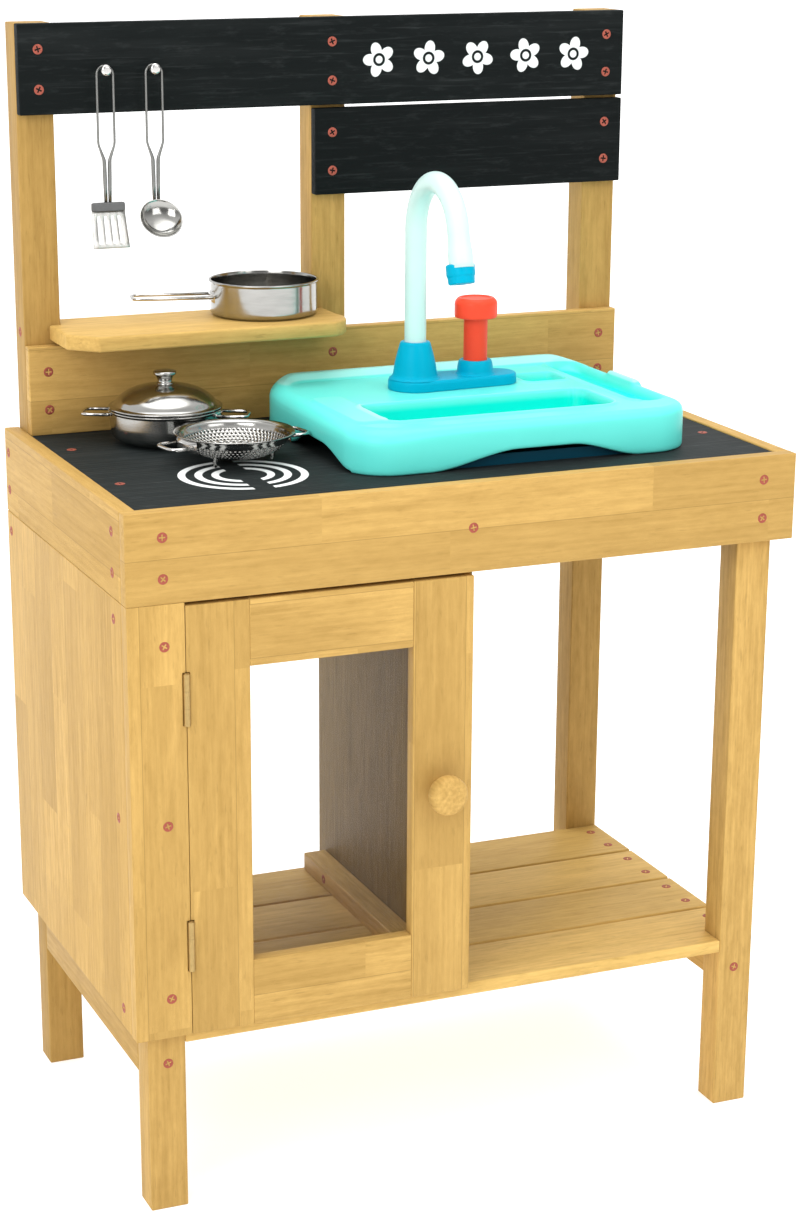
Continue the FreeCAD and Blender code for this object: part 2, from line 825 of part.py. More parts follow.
def hinge_leaf(low, leaf_x, lifts):
    """A leaf let into a stile's edge, with the knuckles at the given thirds."""
    front = at.knuckle_r - at.pin_forward + at.hinge_clearance
    leaf = solid_block(leaf_x, (front, at.leaf_depth), (low, low + at.hinge_length))
    third = at.hinge_length / 3
    for lift in lifts:
        start = low + third * lift
        gap = at.hinge_clearance / 2 if lift == 1 else 0 * third
        leaf = leaf.fuse(knuckle(start + gap, start + third - gap, leaf_x))
    return leaf.removeSplitter()


def build_hinges():
    """Two butt hinges: a fixed leaf, a door leaf and a headed pin each."""
    fixed = [hinge_leaf(low, fixed_leaf_x, (0, 2)) for low in hinge_bottoms()]
    moving = [hinge_leaf(low, moving_leaf_x, (1,)) for low in hinge_bottoms()]
    feature("hinge_leaves_fixed", Part.makeCompound(fixed))
    feature("hinge_leaves_door", Part.makeCompound(moving))
    pins = []
    for number, low in enumerate(hinge_bottoms()):
        top = low + at.hinge_length
        profile = [(0, low), (at.pin_r, low), (at.pin_r, top), (at.pin_head_r, top)]
        profile += [(at.pin_head_r, top + at.pin_head_t), (0, top + at.pin_head_t)]
        pins.append(turned(f"hinge_pin_{number}", profile, pin_x, -at.pin_forward, 0 * low))
    fused("hinge_pins", pins)


def screw_shape(length):
    """A countersunk wood screw that points down, its head's top just above the origin."""
    top = at.screw_rise
    rings = [(at.screw_head_r, top), (at.screw_r, top - at.screw_head_t), (at.screw_r / 2, top - length)]
    return faceted(rings, SCREW_SIDES)


def screws(label, groups):
    """A node of wood screws: each group is a driving direction, a length and its places."""
    solids = []
    for direction, length, places in groups:
        shape = screw_shape(length)
        tilt = FreeCAD.Rotation(FreeCAD.Vector(0, 0, -1), FreeCAD.Vector(*direction))
        for spot in places:
            copy = shape.copy()
            copy.Placement = FreeCAD.Placement(FreeCAD.Vector(*[float(value) for value in spot]), tilt)
            solids.append(copy)
    feature(label, Part.makeCompound(solids))


def build_screws():
    """The screws that show, in five groups by the way they are driven."""
    edge, row = at.screw_edge, at.screw_row
    left, right = edge - at.inner_half_width, at.inner_half_width - edge
    apron_mid = apron_bottom + at.apron_height / 2
    pair = (apron_mid + row, apron_mid - row)
    stile_z = (apron_bottom - 2 * edge, (apron_bottom + cupboard_bottom) / 2, cupboard_bottom + 2 * edge)
    divider_x = divider_left + at.divider_t / 2
    front = [(left, 0, z) for z in pair] + [(right, 0, z) for z in pair] + [(divider_x, 0, apron_mid)]
    front += [(left, 0, z) for z in stile_z]
    rail_mid = rail_top - at.post_width / 2
    low = [(x, at.board_t, rail_mid) for x in (left, right)]
    towards_back = (0, 1, 0)
    screws("screws_front", [(towards_back, at.screw_length, front + low)])
    build_side_screws(pair, edge)
    wall = []
    splash_mid = (at.counter_height + splash_top) / 2
    top_mid = total_height - at.black_board_height / 2
    low_mid = black_low_top - at.black_board_height / 2
    for middle, columns in ((splash_mid, (left, at.centre_post_x, right)),
                            (top_mid, (left, at.centre_post_x, right)),
                            (low_mid, (at.centre_post_x, right))):
        wall += [(x, boards_front, middle + step) for x in columns for step in (row, -row)]
    screws("screws_back_wall", [(towards_back, at.screw_length, wall)])
    rows = (at.counter_screw_y, at.counter_screw_y + at.counter_screw_pitch)
    counter = [(x, y, at.counter_height) for y in rows for x in (left, right)]
    screws("screws_counter", [((0, 0, -1), at.short_screw_length, counter)])
    build_floor_screws()


def build_side_screws(pair, edge):
    """Screws driven from both sides: aprons, side panel, shelf and the divider's batten."""
    front_y, back_y = at.board_t + at.post_depth * 3 / 4, posts_front + at.post_depth * 2 / 3
    panel_z = (apron_bottom - edge, (apron_bottom + cupboard_bottom) / 2, cupboard_bottom + edge)
    rightward = [(-side_face, y, z) for y in (front_y, back_y) for z in pair]
    rightward += [(-side_face, front_y, z) for z in panel_z] + [(-side_face, back_y, panel_z[0])]
    leftward = [(side_face, y, z) for y in (front_y, back_y) for z in pair]
    shelf_z = splash_top + at.shelf_rise + at.shelf_t / 2
    into_shelf = [(-at.inner_half_width, (posts_front + posts_back) / 2, shelf_z)]
    batten_z = at.floor_height + at.batten_height / 2
    batten_x = divider_left - at.batten_width
    batten = [(batten_x, y, batten_z) for y in (leg_back, posts_front - 2 * at.post_depth)]
    groups = [((1, 0, 0), at.screw_length, rightward), ((-1, 0, 0), at.screw_length, leftward)]
    groups += [((1, 0, 0), at.post_width + at.shelf_chamfer, into_shelf)]
    groups += [((1, 0, 0), at.batten_width + at.divider_t / 2, batten)]
    screws("screws_sides", groups)


def build_floor_screws():
    """Two screws down into the rail at each end of every board that lies on it."""
    spots = []
    middle = at.inner_half_width - at.post_depth / 2
    for index in range(4):
        for share in (1 / 4, 3 / 4):
            if index or share > 1 / 2:
                y = slat_front(index) + at.slat_width * share
                spots += [(x, y, at.floor_height) for x in (-middle, middle)]
    screws("screws_floor", [((0, 0, -1), at.short_screw_length, spots)])


def centred(x, y, width, depth):
    """The corners of a rectangle round a middle point."""
    return rectangle((x - width / 2, x + width / 2), (y - depth / 2, y + depth / 2))


def build_sink():
    """The moulded toy sink: a hollow deck on four feet with a basin and shallow dishes."""
    sink = body("sink_unit", at.sink_x, sink_front + at.sink_depth / 2, at.counter_height)
    top, under = at.sink_height, at.sink_height - at.deck_t
    plan = drawing(sink, "sink_plan", "XY_Plane")
    base = pad(sink, outline(plan, centred(0, 0, at.sink_width, at.sink_depth)), top)
    corners = ease_edges(sink, base, "Fillet", at.sink_corner, upright)
    ease_edges(sink, corners, "Fillet", at.sink_edge, lying_at(top))
    hollow = drawing(sink, "hollow_plan", "XY_Plane")
    width, depth = at.sink_width - 2 * at.sink_wall, at.sink_depth - 2 * at.sink_wall
    rounded(hollow, width, depth, at.sink_corner - at.sink_wall)
    pocket(sink, hollow, under, True)
    build_upstand(sink)
    build_dishes(sink, top)
    build_arches(sink)
    hole = drawing(sink, "pump_hole", "XY_Plane", under - at.overrun)
    tap = (at.spout_x - at.sink_x, tap_y - sink_front - at.sink_depth / 2)
    circle(hole, tap[0] + at.pump_x, tap[1], at.cylinder_r + at.cylinder_fit)
    pocket(sink, hole, at.deck_t + 2 * at.overrun, True)


def rounded(sheet, width, depth, radius, x=0, y=0):
    """A rectangle with round corners, its quarter arcs given by how far they stand out."""
    half_w, half_d = width / 2, depth / 2
    corners = [(x - half_w + radius, y - half_d), (x + half_w - radius, y - half_d)]
    corners += [(x + half_w, y - half_d + radius), (x + half_w, y + half_d - radius)]
    corners += [(x + half_w - radius, y + half_d), (x - half_w + radius, y + half_d)]
    corners += [(x - half_w, y + half_d - radius), (x - half_w, y - half_d + radius)]
    bulge = radius * (1 - cosine(45))
    return outline(sheet, corners, {side: -bulge for side in (1, 3, 5, 7)})


def build_upstand(sink):
    """A rounded band along the back edge and both back corners, its ends sloping to the deck."""
    start = at.sink_height - at.sink_edge
    plan = drawing(sink, "upstand_plan", "XY_Plane", start)
    half_w, back, wide = at.sink_width / 2, at.sink_depth / 2, at.upstand_width
    turn_x, turn_y, inner = half_w - at.sink_corner, back - at.sink_corner, half_w - wide
    corners = [(-half_w, turn_y), (-inner, turn_y), (-turn_x, back - wide), (turn_x, back - wide)]
    corners += [(inner, turn_y), (half_w, turn_y), (turn_x, back), (-turn_x, back)]
    outer, small = at.sink_corner * (1 - cosine(45)), (at.sink_corner - wide) * (1 - cosine(45))
    band = pad(sink, outline(plan, corners, {1: small, 3: small, 5: -outer, 7: -outer}),
               at.upstand_rise + at.sink_edge)
    high = at.sink_height + at.upstand_rise
    ease_edges(sink, band, "Chamfer", at.upstand_rise / 2, lying_at(high))
    crest, over = half_w - at.upstand_inset, at.upstand_rise
    for side in (-1, 1):
        sheet = drawing(sink, f"upstand_slope_{side + 1}", "XZ_Plane", back)
        steep = [(side * crest, high), (side * half_w, at.sink_height)]
        steep += [(side * (half_w + over), at.sink_height), (side * (half_w + over), high + over)]
        steep += [(side * crest, high + over)]
        pocket(sink, outline(sheet, steep), at.sink_depth)


def build_dishes(sink, top):
    """The basin with its raised lip, the soap dish, the drain groove and the side tray."""
    lip = drawing(sink, "lip_plan", "XY_Plane", at.basin_floor - at.sink_wall)
    wide, deep = at.basin_width + 2 * at.lip_width, at.basin_depth + 2 * at.lip_width
    rounded(lip, wide, deep, at.basin_corner + at.lip_width, at.basin_x, at.basin_y)
    pad(sink, lip, top + at.lip_rise - at.basin_floor + at.sink_wall)
    basin = drawing(sink, "basin_plan", "XY_Plane", at.basin_floor)
    rounded(basin, at.basin_width, at.basin_depth, at.basin_corner, at.basin_x, at.basin_y)
    pocket(sink, basin, top + at.overrun + at.lip_rise, True)
    cup = drawing(sink, "soap_cup", "XY_Plane", top - at.soap_drop - at.sink_wall)
    outline(cup, centred(at.soap_x, at.soap_y, at.soap_width, at.soap_depth))
    pad(sink, cup, at.soap_drop + at.sink_wall - at.deck_t / 2)
    dishes = [("soap", at.soap_x, at.soap_y, at.soap_width - 2 * at.sink_wall,
               at.soap_depth - 2 * at.sink_wall, at.soap_drop)]
    dishes.append(("groove", at.groove_x, at.groove_y, at.groove_width, at.groove_depth, at.groove_drop))
    dishes.append(("tray", at.tray_x, at.tray_y, at.tray_width, at.tray_depth, at.groove_drop))
    for name, x, y, width, depth, drop in dishes:
        sheet = drawing(sink, name + "_dish", "XY_Plane", top - drop)
        rounded(sheet, width, depth, at.sink_edge, x, y)
        pocket(sink, sheet, drop + at.overrun, True)


def build_arches(sink):
    """Arched openings between the feet, in the front wall and in both side walls."""
    half_w, half_d = at.sink_width / 2, at.sink_depth / 2
    cut = at.sink_wall + 2 * at.overrun
    front = drawing(sink, "front_arch", "XZ_Plane", half_d - at.sink_wall - at.overrun)
    pocket(sink, arch(front, at.front_arch_x, at.front_arch_width, at.front_arch_height), cut, True)
    sides = (("left_arch", -half_w - at.overrun), ("right_arch", half_w - at.sink_wall - at.overrun))
    for name, offset in sides:
        side = drawing(sink, name, "YZ_Plane", offset)
        pocket(sink, arch(side, at.side_arch_y, at.side_arch_width, at.side_arch_height), cut, True)


def arch(sheet, middle, width, height):
    """A flat arch over a straight foot line."""
    left, right = middle - width / 2, middle + width / 2
    return outline(sheet, [(left, 0), (right, 0)], {1: -height})


def build_reservoir():
    """The dark water tub that lies on the counter under the sink."""
    x = (at.sink_x + at.tub_x - at.tub_width / 2, at.sink_x + at.tub_x + at.tub_width / 2)
    middle = sink_front + at.sink_depth / 2 + at.tub_y
    y = (middle - at.tub_depth / 2, middle + at.tub_depth / 2)
    z = (at.counter_height, at.counter_height + at.tub_height)
    wall = at.tub_wall
    tub = doc.addObject("Part::Cut", "reservoir")
    tub.Base = block("tub_outside", x, y, z)
    tub.Tool = block("tub_inside", (x[0] + wall, x[1] - wall), (y[0] + wall, y[1] - wall),
                     (z[0] + wall, z[1] + at.overrun))
    keep(tub, "reservoir")


def build_tap():
    """The tap's base with both bosses, the spout, its nozzle and the pump."""
    deck = at.counter_height + at.sink_height
    boss_top = at.plate_t + at.boss_height
    stand("tap_base", tap_base_shape(boss_top), at.spout_x, tap_y, deck)
    build_spout(deck + boss_top)
    build_pump(deck)


def lobe_corners():
    """The corners round a large and a small circle, joined by their common tangents."""
    big, small, distance = float(at.spout_lobe_r), float(at.pump_lobe_r), float(at.pump_lobe_x)
    lean = math.acos((big - small) / distance)
    ends = [(0, big, lean, 2 * math.pi - 2 * lean), (distance, small, -lean, 2 * lean)]
    corners = []
    for x, radius, start, sweep in ends:
        for step in range(LOBE_BENDS + 1):
            angle = start + sweep * step / LOBE_BENDS
            corners.append(FreeCAD.Vector(x + radius * math.cos(angle), radius * math.sin(angle), 0))
    return corners


def tap_base_shape(boss_top):
    """Plate, cone and collar in one, with the spout's socket and the plunger's bore cut in."""
    corners, collar_top = lobe_corners(), at.plate_t + at.pump_boss_height
    outline_face = Part.Face(Part.makePolygon(corners + corners[:1]))
    plate = outline_face.extrude(FreeCAD.Vector(0, 0, float(at.plate_t)))
    rings = [(at.boss_low_r, 0 * boss_top), (at.boss_low_r, at.plate_t), (at.boss_top_r, boss_top)]
    collar = faceted([(at.pump_boss_r, 0 * boss_top), (at.pump_boss_r, collar_top)], SMALL_SIDES)
    socket = Part.makeCylinder(float(at.spout_r + at.spout_fit), float(at.spout_seat + at.overrun))
    guide = Part.makeCylinder(float(at.stem_r + at.stem_fit), float(collar_top + 2 * at.overrun))
    socket.translate(FreeCAD.Vector(0, 0, float(boss_top - at.spout_seat)))
    guide.translate(FreeCAD.Vector(float(at.pump_x), 0, -float(at.overrun)))
    collar.translate(FreeCAD.Vector(float(at.pump_x), 0, 0))
    whole = plate.fuse([faceted(rings, SMALL_SIDES), collar]).removeSplitter()
    return whole.cut([socket, guide]).removeSplitter()


def build_spout(boss_z):
    """The bent spout tube and the nozzle on its free end."""
    column, bend, sweep = at.spout_seat + at.spout_column, at.spout_bend_r, at.spout_bend_angle
    crown = (bend * cosine(sweep) - bend, column + bend * sine(sweep))
    end = (crown[0] - at.spout_drop * sine(sweep), crown[1] + at.spout_drop * cosine(sweep))
    section = doc.addObject("Part::RegularPolygon", "spout_section")
    section.Polygon = SPOUT_SIDES
    bind(section, {"Circumradius": at.spout_r})
    path = doc.addObject("Sketcher::SketchObject", "spout_path")
    path.Placement.Rotation = FreeCAD.Rotation(FreeCAD.Vector(1, 1, 1), 120)
    open_path(path, [(0, 0), (0, column), crown, end], sweep)
    doc.recompute()
    tube = doc.addObject("Part::Sweep", "spout_tube")
    tube.Sections = [section]
    tube.Spine = (path, [f"Edge{n}" for n in range(1, len(path.Shape.Edges) + 1)])
    tube.Solid = True
    place(tube, at.spout_x, tap_y, boss_z - at.spout_seat)
    keep(tube, "spout_tube")
    nozzle_y = tap_y + end[0] + at.nozzle_lap / 2 * sine(sweep)
    top = boss_z - at.spout_seat + end[1] + at.nozzle_lap
    inner, height = at.nozzle_r - at.nozzle_wall, at.nozzle_height
    floor, past = height - at.nozzle_socket, height + at.overrun
    outside = [(at.nozzle_r, 0 * height), (at.nozzle_r, height)]
    cup = shell(outside, [(inner, floor), (inner, past)], SMALL_SIDES)
    outlet = faceted([(at.nozzle_outlet_r, -at.overrun), (at.nozzle_outlet_r, past)], SMALL_SIDES)
    stand("nozzle", cup.cut(outlet), at.spout_x, nozzle_y, top - height)


def open_path(sheet, points, sweep):
    """A line, an arc that continues it, and a line that continues the arc."""
    spots = [FreeCAD.Vector(float(x), float(y), 0) for x, y in points]
    centre = spots[1] + FreeCAD.Vector(-float(at.spout_bend_r), 0, 0)
    around = Part.Circle(centre, FreeCAD.Vector(0, 0, 1), float(at.spout_bend_r))
    sheet.addGeometry(Part.LineSegment(spots[0], spots[1]))
    sheet.addGeometry(Part.ArcOfCircle(around, 0, math.radians(float(sweep))))
    sheet.addGeometry(Part.LineSegment(spots[2], spots[3]))
    for joint in ((0, 2, 1, 1), (1, 2, 2, 1)):
        sheet.addConstraint(Sketcher.Constraint("Coincident", *joint))
    for item, end, spot in ((0, 1, 0), (0, 2, 1), (1, 2, 2), (2, 2, 3)):
        pin_point(sheet, item, end, *points[spot])
    number = sheet.addConstraint(Sketcher.Constraint("Radius", 1, float(at.spout_bend_r)))
    sheet.setExpression(f"Constraints[{number}]", at.spout_bend_r.formula)
    return sheet


def build_pump(deck):
    """The push pump: plunger, cylinder and return spring on one axis."""
    x = at.spout_x + at.pump_x
    low, cap = deck + at.plate_t + at.pump_boss_height - at.stem_down, at.stem_down + at.stem_up
    brow = cap + at.cap_height
    rings = [(at.stem_r, 0 * cap), (at.stem_r, cap), (at.cap_r, cap), (at.cap_r, brow - at.cap_round)]
    rings += [(at.cap_r - at.cap_round / 3, brow - at.cap_round / 3), (at.cap_r - at.cap_round, brow)]
    stand("pump_plunger", faceted(rings, SMALL_SIDES), x, tap_y, low)
    foot = at.counter_height + at.cylinder_foot
    wall, tall = at.stem_r + at.stem_fit, deck - foot
    outside = [(at.cylinder_r, 0 * foot), (at.cylinder_r, tall)]
    inside = [(wall, at.cylinder_floor_t), (wall, tall + at.overrun)]
    stand("pump_cylinder", shell(outside, inside, SMALL_SIDES), x, tap_y, foot)
    floor = foot + at.cylinder_floor_t + at.spring_slack
    coil = low - at.spring_slack - floor
    bore = at.spring_r - at.spring_wire
    tube = shell([(at.spring_r, 0 * foot), (at.spring_r, coil)],
                 [(bore, -at.overrun), (bore, coil + at.overrun)], SMALL_SIDES)
    stand("pump_spring", tube, x, tap_y, floor)


def wire_shape(points, radius, bend):
    """Six-sided wire along straight runs, each corner taken in two bends."""
    spots = [FreeCAD.Vector(*[float(value) for value in point]) for point in points]
    path = [spots[0]]
    for before, corner, after in zip(spots, spots[1:], spots[2:]):
        path.append(corner + (before - corner).normalize() * bend)
        path.append(corner + (after - corner).normalize() * bend)
    path.append(spots[-1])
    return swept_wire(path, radius)


def swept_wire(path, radius):
    """A six-sided section carried along a line of points."""
    corners = many_sided(radius, 0, SCREW_SIDES)
    section = Part.makePolygon(corners + corners[:1])
    along = (path[1] - path[0]).normalize()
    section.Placement = FreeCAD.Placement(path[0], FreeCAD.Rotation(FreeCAD.Vector(0, 0, 1), along))
    return Part.makePolygon(path).makePipeShell([section], True, False, 1)


def handle_shape(wall_r, reach, width, height):
    """A wire loop that leaves a vessel's wall along +X, with the plate that holds it."""
    outer = wall_r + at.weld + at.tab_t
    wire = float(at.wire_r)
    start = outer - at.tab_t / 2
    end = reach - at.wire_r
    half = width / 2
    points = [(start, -half, height), (end, -half, height), (end, half, height), (start, half, height)]
    loop = wire_shape(points, wire, float(at.handle_bend_r))
    reach_y = half + 2 * at.wire_r
    tab = solid_block((wall_r + at.weld, outer), (-reach_y, reach_y),
                      (height - at.tab_height / 2, height + at.tab_height / 2))
    return tab.fuse(loop).removeSplitter()


def place_handles(label, handle, x, y, z, angles):
    """One copy of a handle for each angle round a vessel's axis."""
    copies = []
    for angle in angles:
        copy = handle.copy()
        copy.rotate(FreeCAD.Vector(0, 0, 0), FreeCAD.Vector(0, 0, 1), float(angle))
        copy.translate(FreeCAD.Vector(float(x), float(y), float(z)))
        copies.append(copy)
    feature(label, Part.makeCompound(copies))


def vessel(label, x, y, z, wall_r, foot_r, foot_h, height):
    """An open sheet-metal vessel with a flat bottom and a sloped foot."""
    tin = at.tin_t
    outside = [(foot_r, 0 * tin), (wall_r, foot_h), (wall_r, height)]
    inside = [(foot_r - tin / 2, tin), (wall_r - tin, foot_h + tin / 2), (wall_r - tin, height + at.overrun)]
    stand(label, shell(outside, inside, POT_SIDES), x, y, z)


def build_casserole():
    """The lidded pot at the back of the hob."""
    x, y, z = at.casserole_x, at.casserole_y, at.counter_height
    wall, foot = at.casserole_r, at.casserole_r - at.casserole_foot
    vessel("casserole_pot", x, y, z, wall, foot, at.casserole_foot, at.casserole_height)
    handle = handle_shape(wall, at.casserole_reach, at.casserole_handle_width, at.casserole_handle_z)
    place_handles("casserole_handles", handle, x, y, z, (at.casserole_angle, at.casserole_angle + 180))
    build_lid(x, y, z + at.casserole_height + at.lid_gap)


def build_lid(x, y, rim):
    """The domed lid and the knob riveted to its crown."""
    tin = at.tin_t
    shoulder, slope = at.lid_r * 9 / 10, at.lid_dome * 2 / 5
    hip, brow = at.lid_r * 3 / 5, at.lid_dome * 22 / 25
    crown, crown_r = at.lid_rim + at.lid_dome, at.lid_knob_r
    outside = [(at.lid_r, 0 * tin), (at.lid_r, at.lid_rim), (shoulder, slope), (hip, brow), (crown_r, crown)]
    inside = [(at.lid_r - 2 * tin, -at.overrun), (at.lid_r - 2 * tin, at.lid_rim / 2)]
    inside += [(shoulder, slope - tin)]
    inside += [(hip, brow - tin), (crown_r, crown - tin)]
    stand("casserole_lid", shell(outside, inside, POT_SIDES), x, y, rim)
    neck, flare = at.lid_knob_neck_r, at.lid_knob_r
    mid, high = crown + at.lid_knob_neck, crown + at.lid_knob_neck + at.lid_knob_t
    rings = [(neck, crown), (neck, mid - at.lid_knob_t / 4)]
    rings += [(flare, mid), (flare, high - tin), (flare - tin, high)]
    stand("lid_knob", faceted(rings, SMALL_SIDES), x, y, rim)


def build_colander():
    """The open bowl in front of it, on a ring foot."""
    x, y, z = at.colander_x, at.colander_y, at.counter_height
    tin, wall, foot = at.tin_t, at.colander_r, at.colander_foot_r
    low, high = at.colander_foot, at.colander_height
    belly_r, belly_z = wall * 9 / 10, low + (high - low) / 3
    outside = [(foot, 0 * tin), (foot, low), (belly_r, belly_z), (wall, high - 2 * tin)]
    outside += [(at.colander_rim_r, high - tin), (at.colander_rim_r, high)]
    inside = [(foot - tin, low + tin), (belly_r - tin, belly_z + tin / 2), (wall - tin, high + at.overrun)]
    stand("colander_bowl", shell(outside, inside, POT_SIDES), x, y, z)
    height = high - 2 * tin - at.weld - at.tab_height / 2
    handle = handle_shape(wall, at.colander_reach, at.colander_handle_width, height)
    place_handles("colander_handles", handle, x, y, z, (at.colander_angle, at.colander_angle + 180))


def build_saucepan():
    """The saucepan on the shelf, with one long wire handle."""
    x, y = at.saucepan_x, at.saucepan_y
    z = splash_top + at.shelf_rise + at.shelf_t
    wall = at.saucepan_r
    vessel("saucepan_pot", x, y, z, wall, wall - at.saucepan_foot, at.saucepan_foot, at.saucepan_height)
    handle = handle_shape(wall, at.saucepan_reach, at.saucepan_handle_width, at.saucepan_handle_z)
    place_handles("saucepan_handle", handle, x, y, z, (at.saucepan_angle,))


def hanging_wire(x):
    """The doubled wire of a utensil: an eye round its peg, a neck and twin shanks."""
    eye_z = peg_z + at.peg_r + at.loop_rest + at.shank_r - at.loop_r
    neck, low = peg_z - at.neck_drop, peg_z - at.shank_drop
    radius, narrow, close = float(at.loop_r), float(at.neck_spread / 2), float(at.foot_spread / 2)
    centre = FreeCAD.Vector(float(x), float(utensil_y), float(eye_z))
    def spot(across, up):
        return centre + FreeCAD.Vector(across, 0, up)
    foot, drop = float(low - eye_z), float(neck - eye_z)
    path = [spot(-close, foot), spot(-narrow, drop)]
    for step in range(EYE_BENDS + 1):
        angle = math.pi * step / EYE_BENDS
        path.append(spot(-radius * math.cos(angle), radius * math.sin(angle)))
    path += [spot(narrow, drop), spot(close, foot)]
    return swept_wire(path, float(at.shank_r))


def build_turner():
    """The slotted turner that hangs on the left peg."""
    x, top = turner_x, peg_z - at.shank_drop
    half_bar, thick = at.turner_bar_width / 2, at.turner_bar_t / 2
    y = (utensil_y - thick, utensil_y + thick)
    blade_top = top - at.turner_bar_height + at.overrun
    bar = solid_block((x - half_bar, x + half_bar), y, (blade_top, top + at.overrun))
    low = blade_top - at.blade_height
    corners = [(-at.blade_top_width / 2, blade_top), (at.blade_top_width / 2, blade_top)]
    corners += [(at.blade_width / 2, low), (-at.blade_width / 2, low)]
    front = float(utensil_y - at.blade_t / 2)
    points = [FreeCAD.Vector(float(x + across), front, float(z)) for across, z in corners]
    blade = Part.Face(Part.makePolygon(points + points[:1])).extrude(FreeCAD.Vector(0, float(at.blade_t), 0))
    half_slot = at.blade_slot_width / 2
    for step in (-1, 0, 1):
        middle = x + at.blade_slot_pitch * step
        slot = solid_block((middle - half_slot, middle + half_slot), (y[0], y[1]),
                           (low + at.blade_slot_inset, blade_top - at.blade_slot_inset))
        blade = blade.cut(slot)
    feature("turner", hanging_wire(x).fuse([bar, blade]).removeSplitter())


def build_ladle():
    """The ladle that hangs on the right peg, its bowl turned to the front."""
    deep, wide, tin = at.ladle_deep, at.ladle_r, at.tin_t
    outside = [(wide * 2 / 5, -deep), (wide * 4 / 5, -deep * 3 / 5), (wide, 0 * deep)]
    inside = [(wide * 2 / 5, tin - deep), (wide * 4 / 5 - tin, tin - deep * 3 / 5), (wide - tin, at.overrun)]
    bowl = shell(outside, inside, SMALL_SIDES)
    bowl.rotate(FreeCAD.Vector(0, 0, 0), FreeCAD.Vector(1, 0, 0), 90 - float(at.ladle_tilt))
    back = utensil_y - wide * sine(at.ladle_tilt) - at.shank_r
    low = peg_z - at.shank_drop - wide * cosine(at.ladle_tilt) + at.shank_r
    bowl.translate(FreeCAD.Vector(float(ladle_x), float(back), float(low)))
    feature("ladle", hanging_wire(ladle_x).fuse(bowl).removeSplitter())


def check_and_export():
    """Stop at anything that failed, then write each piece to its own file."""
    doc.recompute()
    for thing in doc.Objects:
        if "Invalid" in thing.State or "Error" in thing.State:
            raise RuntimeError(f"{thing.Label} failed to build")
    os.makedirs("parts", exist_ok=True)
    for piece in PIECES:
        shape = piece.Shape
        if shape.isNull() or not shape.isValid():
            raise RuntimeError(f"{piece.Label} has no valid shape")
        shape.exportStep(f"parts/{piece.Label}.step")
    print(f"{len(PIECES)} pieces written")


def main():
    """Build the mud kitchen from the floor up."""
    build_frame()
    build_counter()
    build_floor()
    build_cupboard()
    build_back_wall()
    build_door()
    build_hinges()
    build_screws()
    build_sink()
    build_reservoir()
    build_tap()
    build_casserole()
    build_colander()
    build_saucepan()
    build_turner()
    build_ladle()
    check_and_export()


main()
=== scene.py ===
# %% [markdown]
# A mud kitchen is a small outdoor play kitchen: pine boards, a black-painted counter, a
# moulded toy sink and a few tin pots. The CAD frame gives every piece its place, so each
# cell below dresses one kind of piece. Lengths are written in millimetres, as in the
# workshop, and become metres when a mesh is made. Depths are counted backwards from the
# front of the apron, which lies MID_DEPTH in front of the part's origin.

# %% Load the frame
import json
import math
from types import SimpleNamespace

import bmesh
import bpy
import numpy as np
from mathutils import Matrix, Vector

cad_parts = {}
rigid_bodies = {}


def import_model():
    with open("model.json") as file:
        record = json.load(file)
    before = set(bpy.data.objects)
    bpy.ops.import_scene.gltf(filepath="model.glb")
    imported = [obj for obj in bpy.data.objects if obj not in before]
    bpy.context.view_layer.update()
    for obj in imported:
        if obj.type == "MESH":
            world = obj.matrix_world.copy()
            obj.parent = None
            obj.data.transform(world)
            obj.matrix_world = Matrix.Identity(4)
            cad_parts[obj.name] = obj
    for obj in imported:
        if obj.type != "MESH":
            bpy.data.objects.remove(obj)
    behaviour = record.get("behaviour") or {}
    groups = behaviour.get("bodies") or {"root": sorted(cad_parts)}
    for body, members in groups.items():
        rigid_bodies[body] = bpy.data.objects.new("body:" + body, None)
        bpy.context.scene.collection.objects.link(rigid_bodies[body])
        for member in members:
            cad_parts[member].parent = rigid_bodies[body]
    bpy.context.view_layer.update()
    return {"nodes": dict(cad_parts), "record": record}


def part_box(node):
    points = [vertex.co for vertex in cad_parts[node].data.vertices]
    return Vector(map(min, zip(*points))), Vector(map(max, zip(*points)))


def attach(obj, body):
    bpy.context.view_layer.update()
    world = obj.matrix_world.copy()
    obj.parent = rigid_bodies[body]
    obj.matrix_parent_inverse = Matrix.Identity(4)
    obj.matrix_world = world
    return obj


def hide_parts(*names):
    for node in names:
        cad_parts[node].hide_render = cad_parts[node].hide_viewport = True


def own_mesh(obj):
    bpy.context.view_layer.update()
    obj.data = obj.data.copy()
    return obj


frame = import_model()
bodies = frame["record"]["behaviour"]["bodies"]
body_of = {node: body for body, nodes in bodies.items() for node in nodes}
MM = 0.001
MID_DEPTH = 174.0

# %% [markdown]
# The camera stands where the photograph was taken: left of the kitchen and a little above
# its highest board. Its place was solved from the straight edges of the frame, so it is
# written as plain numbers. The shift moves the picture on the sensor without turning the
# camera, which keeps the verticals as they are in the photograph.

# %% Camera
CAMERA_PLACE = (-0.92420, -2.17809, 1.14433)
CAMERA_YAW, CAMERA_PITCH, CAMERA_ROLL = 0.386541, 0.298140, -0.000896
PHOTO_SIZE, FOCAL_PIXELS, PHOTO_CENTRE = (800, 1215), 2668.17, (358.66, 671.47)


def linked(name, data):
    """A new object with its data, placed in the scene."""
    made = bpy.data.objects.new(name, data)
    bpy.context.scene.collection.objects.link(made)
    return made


